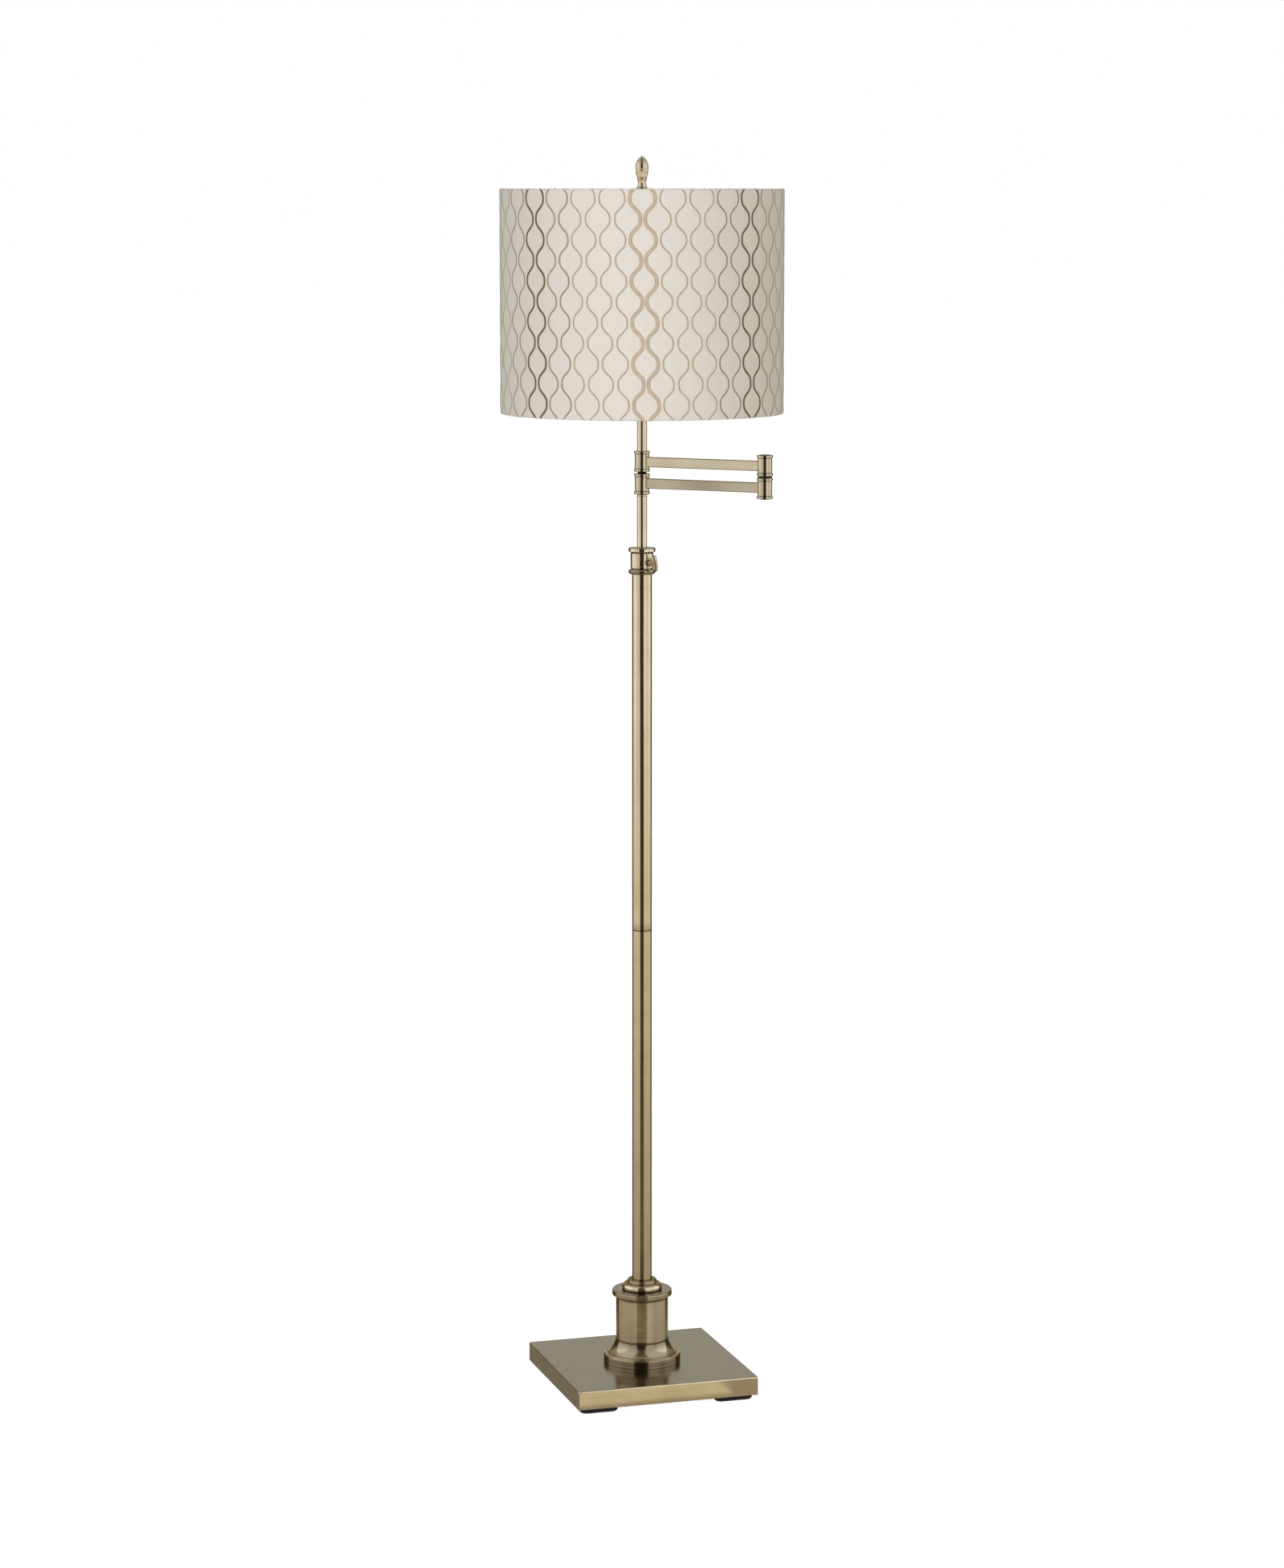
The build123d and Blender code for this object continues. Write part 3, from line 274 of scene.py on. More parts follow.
# %% Cards round the sides
card_head = 4.4
edge_split = 1.3
edge_bearing = 137.0
edge_half = 18.0
side_reach = 4.5
side_cards = (
    ("left_veil", -46.0, 16.0, 0.0, card_head, (0.72, 0.72, 0.72)),
    ("right_veil", 62.0, 10.0, 0.0, card_head, (0.74, 0.74, 0.74)),
    ("left_edge", -edge_bearing, edge_half, 0.0, edge_split, (0.07, 0.062, 0.045)),
    ("right_edge", edge_bearing, edge_half, 0.0, edge_split, (0.09, 0.08, 0.06)),
    ("upper_left_edge", -edge_bearing, edge_half, edge_split, card_head, (0.34, 0.3, 0.22)),
    ("upper_right_edge", edge_bearing, edge_half, edge_split, card_head, (0.24, 0.21, 0.155)),
)
for name, bearing, half_width, foot, head, shade in side_cards:
    turn = radians(bearing)
    place = stand(side_reach * cos(turn), side_reach * sin(turn), (foot + head) / 2)
    facing = Vector((place.x, place.y, 0.0)).to_track_quat("Z", "Y").to_euler()
    wide = 2 * side_reach * tan(radians(half_width))
    card(name + "_card", (wide, head - foot), place, facing, shade)
print("cards round the sides:", len(side_cards))

# %% [markdown]
# The metal shows the floor too. Grey paper lies round the base and gets paler further out. A dark
# cloth leads from the base to the dark card, so that the stripe runs down the pole and over the
# riser, two more lead to the edge cards, and a small cloth and a small paper shade the two sides
# of the base that the photograph shows.


# %% Grey paper on the floor
def distance_to(tree, place, centre):
    """How far each point of a surface is from a centre."""
    node = put(tree, "ShaderNodeVectorMath", {0: place, 1: centre}, operation="DISTANCE")
    return node.outputs["Value"]


def shade_by_reach(sheet, centre, stops):
    """Paints a floor sheet in shades that change with the distance from a centre, in metres."""
    paint, tree, out = fresh_material(sheet.name + "_paint")
    place = put(tree, "ShaderNodeTexCoord").outputs["Object"]
    farthest, last_shade = stops[-1]
    reach = reckon(tree, "DIVIDE", distance_to(tree, place, centre), farthest)
    fade = put(tree, "ShaderNodeValToRGB", {"Fac": reach})
    ramp = fade.color_ramp.elements
    ramp[1].color = (*last_shade, 1.0)
    for distance, shade in stops[:-1]:
        stop = ramp.new(distance / farthest)
        stop.color = (*shade, 1.0)
    ramp.remove(ramp[0])
    glow = put(tree, "ShaderNodeEmission", {"Color": fade.outputs["Color"]})
    tree.links.new(glow.outputs[0], out.inputs["Surface"])
    sheet.data.materials.append(paint)


paper_radius = 8.0
paper_lift = 0.0015
bpy.ops.object.select_all(action="DESELECT")
bpy.ops.mesh.primitive_circle_add(
    vertices=64, radius=paper_radius, fill_type="NGON", location=(0.0, 0.0, paper_lift))
paper_disc = bpy.context.object
paper_disc.name = "floor_paper"
hide_from_light(paper_disc)
shade_by_reach(paper_disc, (0.0, 0.0, 0.0), (
    (0.2, (0.31, 0.275, 0.205)),
    (0.45, (0.4, 0.355, 0.27)),
    (0.8, (0.48, 0.43, 0.335)),
    (2.5, (0.64, 0.59, 0.49)),
    (5.0, (0.86, 0.80, 0.68)),
    (paper_radius, (1.0, 1.0, 1.0)),
))
print(paper_disc.name, "reaches", paper_radius, "m")


# %% Cloths on the floor
def floor_wedge(name, bearing, near, far, widths, stops):
    """A cloth on the floor that widens away from the lamp, shaded by the distance from it."""
    turn = radians(bearing)
    reach = (near + far) / 2
    place = stand(reach * cos(turn), reach * sin(turn), cloth_lift)
    wedge = bare_card(name, (1.0, far - near), place, (0.0, 0.0, atan2(place.x, -place.y)))
    for corner in wedge.data.vertices:
        corner.co.x *= widths[0] if corner.co.y > 0 else widths[1]
    shade_by_reach(wedge, (0.0, reach, 0.0), stops)


cloth_lift = 0.003
small_paper_lift = 0.004
unturned = (0.0, 0.0, 0.0)
floor_wedge("dark_floor_cloth", 0.0, 0.26, 6.58, (0.21, 5.2), (
    (0.3, (0.035, 0.025, 0.011)),
    (0.5, (0.045, 0.034, 0.018)),
    (0.75, (0.17, 0.128, 0.063)),
    (1.1, (0.105, 0.077, 0.034)),
    (2.0, (0.07, 0.05, 0.021)),
    (7.0, (0.035, 0.025, 0.01)),
))
for side, bearing in (("left", -edge_bearing), ("right", edge_bearing)):
    floor_wedge(side + "_edge_cloth", bearing, 0.3, 4.4, (0.2, 2.9), (
        (0.3, (0.07, 0.055, 0.032)),
        (4.4, (0.12, 0.1, 0.065)),
    ))
beside_base = (
    ("left_floor_cloth", (0.09, 0.34), (-0.167, 0.05, cloth_lift), (0.175, 0.158, 0.127)),
    ("front_floor_paper", (0.3, 0.125), (-0.055, -0.2075, small_paper_lift), (0.57, 0.515, 0.38)),
)
for name, size, place, shade in beside_base:
    card(name, size, place, unturned, shade)
studio_sheets = [o.name for o in bpy.context.scene.objects if o.name.endswith(("card", "paper", "cloth"))]
print("cards, papers and cloths:", studio_sheets)

# %% [markdown]
# ## Brushed antique brass
# The brass was brushed on a wheel, darkened, rubbed back and lacquered. Turned pieces carry fine
# lines round them, the flat arms and the base carry straight lines, and the dark colour stays in
# the corners where the rubbing cloth doesn't reach. The same dark bands also hold painted shade
# under rims, in steps and where pieces meet, and painted reflection where a rim looks darker. Two
# effects make this, and many materials use them, so each is a node group: one for the lines, one
# for a dark band round a piece.


# %% Group: brush lines
def new_group(name, inputs, outputs):
    """An empty node group, with the sockets of its input and output nodes."""
    group = bpy.data.node_groups.new(name, "ShaderNodeTree")
    for label, kind in inputs:
        group.interface.new_socket(label, in_out="INPUT", socket_type=kind)
    for label, kind in outputs:
        group.interface.new_socket(label, in_out="OUTPUT", socket_type=kind)
    given = group.nodes.new("NodeGroupInput").outputs
    result = group.nodes.new("NodeGroupOutput").inputs
    return group, given, result


number, vector = "NodeSocketFloat", "NodeSocketVector"
cloud_scale = 28.0
brush_lines, given, result = new_group(
    "brush_lines", (("Place", vector), ("Stretch", vector)), (("Lines", number), ("Clouds", number)))
drawn = put(brush_lines, "ShaderNodeVectorMath", {0: given["Place"], 1: given["Stretch"]},
            operation="MULTIPLY")
fine = put(brush_lines, "ShaderNodeTexNoise", {"Vector": drawn.outputs[0], "Scale": 1.0, "Detail": 4.0})
wide = put(brush_lines, "ShaderNodeTexNoise", {
    "Vector": given["Place"], "Scale": cloud_scale, "Detail": 3.0})
brush_lines.links.new(fine.outputs[0], result["Lines"])
brush_lines.links.new(wide.outputs[0], result["Clouds"])
print("group", brush_lines.name, "has", len(brush_lines.nodes), "nodes")


# %% Group: dark band
def remap(tree, value, low, high, to_low=0.0, to_high=1.0, **options):
    """A value between low and high, carried over to another range and kept inside it."""
    feeds = {0: value, 1: low, 2: high, 3: to_low, 4: to_high}
    return put(tree, "ShaderNodeMapRange", feeds, **options).outputs[0]


dark_band, given, result = new_group(
    "dark_band", (("Height", number), ("Level", number), ("Half", number), ("Depth", number)),
    (("Dark", number),))
off = reckon(dark_band, "ABSOLUTE", reckon(dark_band, "SUBTRACT", given["Height"], given["Level"]))
fading = remap(dark_band, off, 0.0, given["Half"], given["Depth"], 0.0, interpolation_type="SMOOTHSTEP")
dark_band.links.new(fading, result["Dark"])
print("group", dark_band.name, "has", len(dark_band.nodes), "nodes")


def darkest(tree, height, bands):
    """The darkest of several bands, each with its level, half its width and its depth."""
    found = 0.0
    for level, half, depth in bands:
        feeds = {"Height": height, "Level": level, "Half": half, "Depth": depth}
        band = put(tree, "ShaderNodeGroup", feeds, node_tree=dark_band)
        found = reckon(tree, "MAXIMUM", band.outputs["Dark"], found)
    return found


# %% [markdown]
# Each brass piece gets its own copy of the finish, because its dark bands sit at its own ends and
# grooves and its lines follow the way it was worked. The lines change the roughness and a very
# shallow bump; the clouds change the colour a little; the lacquer is the shader's coat. Painted
# shade is also put in spots, measured from a point as the bands are from a height. A piece's colour
# is scaled lighter or darker, partly its own tone and partly painted light for how bright its
# reflections are. On the riser the lines draw the gloss out sideways. Lines that fine would be lost
# in a bump, so the shader's own anisotropy does it.

# %% The brass finish
brass_light = (0.78, 0.68, 0.50)
brass_deep = (0.60, 0.51, 0.345)
brass_patina_and_shade = (0.085, 0.053, 0.02, 1.0)
brass_rim = (0.62, 0.55, 0.43, 1.0)
clean_rim = (1.0, 1.0, 1.0, 1.0)
dark_rim = (0.3, 0.26, 0.2, 1.0)
cloud_share = 0.4
line_share = 0.3
line_height = 0.0002
end_depth = 0.8
lacquer_weight = 0.15
lacquer_rough = 0.1
quarter_turn = 0.25


def dress(node, material):
    """Puts a material on a CAD node, in place of what it has."""
    skin = frame["nodes"][node].data.materials
    skin.clear()
    skin.append(material)


def brass_finish(node, stretch, turn=0.0, rough=0.2, tone_and_light=1.0, reach=0.0012, grain=0.12,
                 bands=(), spots=(), rim=brass_rim, drawn_out=0.0):
    """Brushed, darkened and lacquered brass for one CAD node."""
    low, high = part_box(node)
    material, tree, out = fresh_material("antique_brass_" + node)
    place = put(tree, "ShaderNodeTexCoord").outputs["Object"]
    turned = put(tree, "ShaderNodeMapping", {"Vector": place, "Rotation": (0.0, 0.0, turn)}).outputs[0]
    lines = put(tree, "ShaderNodeGroup", {"Place": turned, "Stretch": stretch}, node_tree=brush_lines)
    worn = remap(tree, lines.outputs["Clouds"], 0.35, 0.7)
    streak = remap(tree, lines.outputs["Lines"], 0.3, 0.7)
    patch = reckon(tree, "MULTIPLY", worn, cloud_share)
    mixed = reckon(tree, "MULTIPLY_ADD", streak, line_share, patch)
    # The tone scales the colour: partly the piece's own tone, partly painted light for how bright its
    # reflections are.
    light = [v * tone_and_light for v in brass_light] + [1.0]
    deep = [v * tone_and_light for v in brass_deep] + [1.0]
    metal = tint(tree, mixed, light, deep)
    height = put(tree, "ShaderNodeSeparateXYZ", {0: place}).outputs["Z"]
    # Both ends of each piece get a dark band: patina and painted contact shade together.
    ends = [(low.z, reach, end_depth), (high.z, reach, end_depth)]
    dark = darkest(tree, height, ends + list(bands))
    for centre, radius, depth in spots:
        spot = darkest(tree, distance_to(tree, place, centre), [(0.0, radius, depth)])
        dark = reckon(tree, "MAXIMUM", dark, spot)
    colour = tint(tree, dark, metal, brass_patina_and_shade)
    dull = remap(tree, streak, 0.0, 1.0, rough - 0.04, rough + 0.06)
    bump = put(tree, "ShaderNodeBump", {"Strength": grain, "Distance": line_height, "Height": streak})
    shader = put(tree, "ShaderNodeBsdfPrincipled", {
        "Base Color": colour, "Metallic": 1.0, "Roughness": dull, "Normal": bump.outputs[0],
        "Specular Tint": rim, "Coat Weight": lacquer_weight, "Coat Roughness": lacquer_rough})
    if drawn_out:
        round_it = put(tree, "ShaderNodeTangent", direction_type="RADIAL", axis="Z").outputs[0]
        tree.links.new(round_it, shader.inputs["Tangent"])
        shader.inputs["Anisotropic"].default_value = drawn_out
        shader.inputs["Anisotropic Rotation"].default_value = quarter_turn
    tree.links.new(shader.outputs[0], out.inputs["Surface"])
    dress(node, material)


def rings(node, from_low, from_high, half, depth):
    """Bands at distances above the foot and below the head of a node."""
    low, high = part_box(node)
    levels = [low.z + step for step in from_low] + [high.z - step for step in from_high]
    return [(level, half, depth) for level in levels]


# %% Brass on the base and the riser
# Waves of noise per metre along X, Y and Z: few along the lines and many across them.
around = (7.0, 7.0, 260.0)
along_tube = (420.0, 420.0, 3.0)
along_bar = (7.0, 260.0, 260.0)
brass_finish("base_cover", along_bar, rough=0.17, tone_and_light=1.2, reach=0.0006, rim=clean_rim)
# The riser's bands are patina and painted shade under its flanges and rims, and painted reflection where
# the flare and rims look darker.
foot_rings = rings("riser_foot", (0.005,), (), 0.0075, 0.55)
foot_rings += rings("riser_foot", (0.0125,), (), 0.0016, 0.5)
foot_rings += rings("riser_foot", (), (0.003,), 0.0105, 0.6)
brass_finish("riser_foot", around, tone_and_light=0.92, reach=0.0022, bands=foot_rings, drawn_out=0.6)
column_rings = rings("riser_column", (), (0.009,), 0.0045, 0.75)
column_rings += rings("riser_column", (), (0.0045,), 0.004, 0.4)
brass_finish("riser_column", around, rough=0.22, bands=column_rings, rim=clean_rim, drawn_out=0.9)
neck_rings = rings("neck_ring", (0.001,), (0.0046,), 0.002, 0.7)
brass_finish("neck_ring", around, rough=0.18, tone_and_light=1.12, bands=neck_rings)


def count_brass():
    """How many pieces have their brass by now."""
    return sum(material.name.startswith("antique_brass_") for material in bpy.data.materials)


print("brass pieces:", count_brass())

# %% Brass on the pole, the collar and the stem
# The band just above the pole's seam is painted shade.
seam_ring = rings("upper_pole", (0.0,), (), 0.012, 0.35)
for tube, bands in (("lower_pole", ()), ("upper_pole", seam_ring), ("inner_stem", ())):
    brass_finish(tube, along_tube, rough=0.14, grain=0.04, bands=bands)
joints = {joint["name"]: joint for joint in frame["record"]["behaviour"]["joints"]}
screw_root = Vector(joints["thumbscrew_turn"]["pos_m"])
screw_axis = Vector(joints["thumbscrew_turn"]["axis"])
boss_reach = 0.0164
neck_reach = 0.0245
# Painted shade round the thumbscrew's boss and round the neck of its wing.
boss_shade_spot = (screw_root + boss_reach * screw_axis, 0.0085, 1.0)
wing_shade_spot = (screw_root + neck_reach * screw_axis, 0.0095, 0.85)
# The collar's bands are patina and painted shade under its flanges and along its lower ring.
collar_rings = rings("height_collar", (0.0068,), (0.0058,), 0.0016, 0.8)
collar_rings += rings("height_collar", (0.003,), (), 0.005, 0.7)
brass_finish("height_collar", around, rough=0.14, grain=0.05, bands=collar_rings, spots=(boss_shade_spot,))
brass_finish("thumbscrew", around, rough=0.18, reach=0.002, grain=0.04, spots=(wing_shade_spot,))
for journal in ("stem_pivot", "thrust_washer"):
    brass_finish(journal, around, grain=0.05)
print("brass pieces:", count_brass())

# %% Brass on the arms
bar_turn = pi / 4
bar_low, bar_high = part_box("lower_arm_bar")
# Painted shade in the middle of the lower bar, under the upper bar.
bar_shade_spot = ((bar_low + bar_high) / 2, 0.062, 0.27)
for bar, tone_and_light, spots in (("lower_arm_bar", 0.83, (bar_shade_spot,)), ("upper_arm_bar", 1.04, ())):
    brass_finish(bar, along_bar, turn=bar_turn, rough=0.28, tone_and_light=tone_and_light, reach=0.0016, spots=spots)
for knuckle in ("pole_knuckle", "lower_elbow", "upper_elbow", "socket_knuckle"):
    # The knuckles' groove bands are patina and painted shade in the steps.
    grooves = rings(knuckle, (0.0037,), (0.0037,), 0.0011, 0.85)
    brass_finish(knuckle, around, rough=0.14, tone_and_light=0.8, grain=0.05, bands=grooves)
for plug in ("lower_elbow_plug", "upper_elbow_cap", "socket_knuckle_plug"):
    brass_finish(plug, around, rough=0.22)
print("brass pieces:", count_brass())

# %% Brass under the shade
for turned_piece in ("socket_tube", "harp_saddle", "harp_sleeves", "socket_cap", "socket_shell"):
    brass_finish(turned_piece, around)
# The finial's ring bands are patina and painted shade under the rings.
finial_rings = rings("finial", (0.0133, 0.0158), (), 0.0009, 0.8)
brass_finish("finial", around, rough=0.16, grain=0.05, bands=finial_rings, rim=dark_rim)
for wire in ("harp", "shade_spider"):
    brass_finish(wire, along_tube, rough=0.24, reach=0.0004)
print("brass pieces:", count_brass())

# %% [markdown]
# ## The other finishes
# Rubber, plastic, iron, zinc, nylon and paper are all a colour with a fine grain. The grain is a
# group too: a noise of a given size that lifts the surface and shades it a little. The coupler
# shows only as a line in the pole's seam, and it is painted dark there, as painted shade in the
# seam. The liner glows faintly, for the light that comes to it through the cloth, and the bulb lets
# light through.

# %% Group: moulded grain
broad_scale = 60.0
moulded_grain, given, result = new_group(
    "moulded_grain", (("Place", vector), ("Size", number)), (("Height", number), ("Shade", number)))
grain_scale = reckon(moulded_grain, "DIVIDE", 1.0, given["Size"])
close = put(moulded_grain, "ShaderNodeTexNoise", {
    "Vector": given["Place"], "Scale": grain_scale, "Detail": 3.0})
broad = put(moulded_grain, "ShaderNodeTexNoise", {
    "Vector": given["Place"], "Scale": broad_scale, "Detail": 2.0})
moulded_grain.links.new(close.outputs[0], result["Height"])
moulded_grain.links.new(broad.outputs[0], result["Shade"])
print("group", moulded_grain.name, "has", len(moulded_grain.nodes), "nodes")


# %% A helper for plain finishes
def plain_finish(name, colour, rough, grain, lift, nodes, metal=0.0, spread=0.25):
    """A colour with its grain, put on each of the nodes."""
    material, tree, out = fresh_material(name)
    place = put(tree, "ShaderNodeTexCoord").outputs["Object"]
    texture = put(tree, "ShaderNodeGroup", {"Place": place, "Size": grain}, node_tree=moulded_grain)
    relief = texture.outputs["Height"]
    darker = [v * (1.0 - spread) for v in colour] + [1.0]
    lighter = [min(1.0, v * (1.0 + spread)) for v in colour] + [1.0]
    paint = tint(tree, texture.outputs["Shade"], darker, lighter)
    dull = remap(tree, relief, 0.0, 1.0, rough - 0.06, rough + 0.06)
    bump = put(tree, "ShaderNodeBump", {"Strength": lift, "Distance": grain * 0.4, "Height": relief})
    shader = put(tree, "ShaderNodeBsdfPrincipled", {
        "Base Color": paint, "Metallic": metal, "Roughness": dull, "Normal": bump.outputs[0]})
    tree.links.new(shader.outputs[0], out.inputs["Surface"])
    for node in nodes:
        dress(node, material)
    return shader


# %% Plain finishes on their nodes
slot_nodes = {}
for row in frame["record"]["subparts"]:
    slot_nodes.setdefault(row["material_slot"], []).append(row["node"])
plain_finish("dark_bronze", (0.06, 0.045, 0.03), 0.4, 0.0006, 0.1, slot_nodes["dark_bronze"], metal=0.8)
plain_finish("black_rubber", (0.012, 0.011, 0.011), 0.62, 0.0005, 0.3, slot_nodes["black_rubber"])
plain_finish("black_steel", (0.02, 0.02, 0.02), 0.45, 0.0009, 0.2, slot_nodes["black_steel"])
plain_finish("cast_iron", (0.1, 0.1, 0.1), 0.75, 0.002, 0.6, slot_nodes["cast_iron"], metal=0.6)
plain_finish("zinc_steel", (0.55, 0.56, 0.57), 0.32, 0.0004, 0.1, slot_nodes["zinc_steel"],
             metal=1.0, spread=0.1)
# The coupler is painted dark: painted shade in the pole's seam.
plain_finish("seam_shade_steel", (0.075, 0.052, 0.027), 0.45, 0.0004, 0.1, ["pole_coupler"], metal=1.0)
plain_finish("black_plastic", (0.016, 0.015, 0.015), 0.4, 0.0004, 0.15, slot_nodes["black_plastic"])
plain_finish("natural_nylon", (0.8, 0.78, 0.72), 0.45, 0.0006, 0.1, slot_nodes["nylon"], spread=0.05)
plain_finish("brown_flex", (0.3, 0.22, 0.12), 0.3, 0.0008, 0.1, slot_nodes["lead_pvc"])
plain_finish("moulded_phenolic", (0.045, 0.036, 0.03), 0.35, 0.0005, 0.15, slot_nodes["phenolic"])
plain_finish("pressed_paper", (0.58, 0.52, 0.42), 0.85, 0.0008, 0.3, slot_nodes["socket_paper"],
             spread=0.12)
plain_finish("drawn_aluminium", (0.74, 0.74, 0.75), 0.28, 0.0004, 0.08, slot_nodes["thin_aluminium"],
             metal=1.0, spread=0.06)
print("plain finishes on", sum(len(n) for s, n in slot_nodes.items() if s != "antique_brass"), "nodes")

# %% The liner's glow and the bulb's glass
liner_glow = (1.0, 0.96, 0.88, 1.0)
liner_glow_level = 0.3
liner_shader = plain_finish("white_styrene", (0.84, 0.82, 0.77), 0.5, 0.0012, 0.06,
                            slot_nodes["shade_styrene"], spread=0.03)
liner_shader.inputs["Emission Color"].default_value = liner_glow
liner_shader.inputs["Emission Strength"].default_value = liner_glow_level
glass_clearness = 0.55
glass_bending = 1.5
glass_shader = plain_finish("frosted_glass", (0.93, 0.92, 0.9), 0.42, 0.0004, 0.1,
                            slot_nodes["frosted_glass"], spread=0.02)
glass_shader.inputs["Transmission Weight"].default_value = glass_clearness
glass_shader.inputs["IOR"].default_value = glass_bending
print("the liner glows at", liner_glow_level)

# %% [markdown]
# ## The shade's cloth
# A drum shade is cloth glued on a stiff sheet, with its two edges rolled over the wire rings and
# turned up inside. The cloth could be cut and wrapped by a cloth simulation, but glued cloth
# can't hang or crease, so it is drawn the way it is stretched: one ring of edges, extruded along
# the outline of hem, wall and hem, then given its thickness.

# %% Sizes of the shade
fabric_low, fabric_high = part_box("shade_fabric")
shade_radius = (fabric_high.x - fabric_low.x) / 2
shade_bottom, shade_top = fabric_low.z, fabric_high.z
cloth_thickness = 0.0005
hem_run = 0.00635
hem_turn = 0.0097
roll = 0.001
roll_steps = 4
cloth_steps = 360
hem_radius = shade_radius - hem_run
print("shade", round(2 * shade_radius, 4), "across,", round(shade_top - shade_bottom, 4), "high")


# %% The cloth's outline
def rolled_corner(centre_r, centre_z, start):
    """Points of a quarter turn of the rolled edge."""
    steps = range(roll_steps + 1)
    turns = [radians(start - 90.0 * step / roll_steps) for step in steps]
    return [(centre_r + roll * cos(t), centre_z + roll * sin(t)) for t in turns]


upper_half = [(hem_radius, shade_top - hem_turn)]
upper_half += rolled_corner(hem_radius + roll, shade_top - roll, 180.0)
upper_half += rolled_corner(shade_radius - roll, shade_top - roll, 90.0)
middle = (shade_top + shade_bottom) / 2
wall_rows = 12
wall_head = shade_top - roll
wall_drop = middle - shade_top + roll
upper_half += [(shade_radius, wall_head + wall_drop * row / wall_rows) for row in range(1, wall_rows)]
lower_half = [(r, 2 * middle - z) for r, z in reversed(upper_half)]
outline = upper_half + [(shade_radius, middle)] + lower_half
print("outline of", len(outline), "points")

# %% Draw the cloth along its outline
same_size = 1e-7
bpy.ops.object.select_all(action="DESELECT")
start_r, start_z = outline[0]
bpy.ops.mesh.primitive_circle_add(vertices=cloth_steps, radius=start_r, location=(0.0, 0.0, start_z))
cloth = bpy.context.object
cloth.name = "shade_cloth_cover"
bpy.ops.object.transform_apply(location=True, rotation=True, scale=True)
bpy.ops.object.mode_set(mode="EDIT")
for (r_now, z_now), (r_next, z_next) in zip(outline, outline[1:]):
    bpy.ops.mesh.extrude_edges_move(TRANSFORM_OT_translate={"value": (0.0, 0.0, z_next - z_now)})
    grow = r_next / r_now
    if abs(grow - 1.0) > same_size:
        bpy.ops.transform.resize(value=(grow, grow, 1.0), center_override=(0.0, 0.0, z_next))
bpy.ops.object.mode_set(mode="OBJECT")
print("cloth has", len(cloth.data.polygons), "faces")

# %% [markdown]
# The spokes of the shade's spider pass through the turned-in hem, so the hem is notched there.

# %% Notch the hem
spoke_angles = [0.0, 2 * pi / 3, 4 * pi / 3]
notch_half = radians(1.2)
lip_depth = 0.0005
bpy.ops.object.mode_set(mode="EDIT")
bpy.ops.mesh.select_all(action="DESELECT")
bpy.ops.object.mode_set(mode="OBJECT")
for face in cloth.data.polygons:
    angle = atan2(face.center.y, face.center.x)
    near = min(abs((angle - spoke + pi) % (2 * pi) - pi) for spoke in spoke_angles)
    on_lip = sqrt(face.center.x ** 2 + face.center.y ** 2) < hem_radius + lip_depth
    face.select = near < notch_half and on_lip and face.center.z > middle
bpy.ops.object.mode_set(mode="EDIT")
bpy.ops.mesh.delete(type="FACE")
bpy.ops.mesh.select_all(action="SELECT")
bpy.ops.mesh.normals_make_consistent(inside=False)
bpy.ops.object.mode_set(mode="OBJECT")
outer_face = max(cloth.data.polygons, key=lambda face: face.center.x)
if outer_face.normal.x < 0:
    cloth.data.flip_normals()
print("notched cloth has", len(cloth.data.polygons), "faces")

# %% [markdown]
# A UV map in metres, round the drum and along the outline, lets the weave follow the cloth. It
# starts at the seam, which is turned to the back.

# %% Map the weave and thicken
seam_angle = radians(68.1)
smooth_below = radians(50)
weave_map = cloth.data.uv_layers.new(name="weave_map")
run_at = {}
run = 0.0
for (r_now, z_now), (r_next, z_next) in zip(outline, outline[1:]):
    run_at[(round(r_now, 6), round(z_now, 6))] = run
    run += sqrt((r_next - r_now) ** 2 + (z_next - z_now) ** 2)
run_at[(round(outline[-1][0], 6), round(outline[-1][1], 6))] = run


def run_to(point):
    """How far along the outline a point of the cloth lies."""
    here = (round(sqrt(point.x ** 2 + point.y ** 2), 6), round(point.z, 6))
    if here not in run_at:
        here = min(run_at, key=lambda known: abs(known[0] - here[0]) + abs(known[1] - here[1]))
    return run_at[here]


for face in cloth.data.polygons:
    middle_angle = (atan2(face.center.y, face.center.x) - seam_angle) % (2 * pi)
    for corner in face.loop_indices:
        point = cloth.data.vertices[cloth.data.loops[corner].vertex_index].co
        angle = (atan2(point.y, point.x) - seam_angle - middle_angle + pi) % (2 * pi) - pi + middle_angle
        weave_map.data[corner].uv = (angle * shade_radius, run_to(point))


def thicken(sheet):
    """Gives a sheet the cloth's thickness, inwards, and smooths its curves."""
    thick = sheet.modifiers.new("thickness", "SOLIDIFY")
    thick.thickness = cloth_thickness
    thick.offset = -1.0
    bpy.ops.object.modifier_apply(modifier=thick.name)
    bpy.ops.object.shade_smooth_by_angle(angle=smooth_below)


thicken(cloth)
print("cloth is cut", round(2 * pi * shade_radius, 4), "by", round(run, 4))

# %% [markdown]
# ## Linen weave
# Close up, the cloth is a plain weave of slightly uneven threads. The weave is a group: two rows
# of rounded threads that take turns on top, and long soft streaks where a thread runs thick.

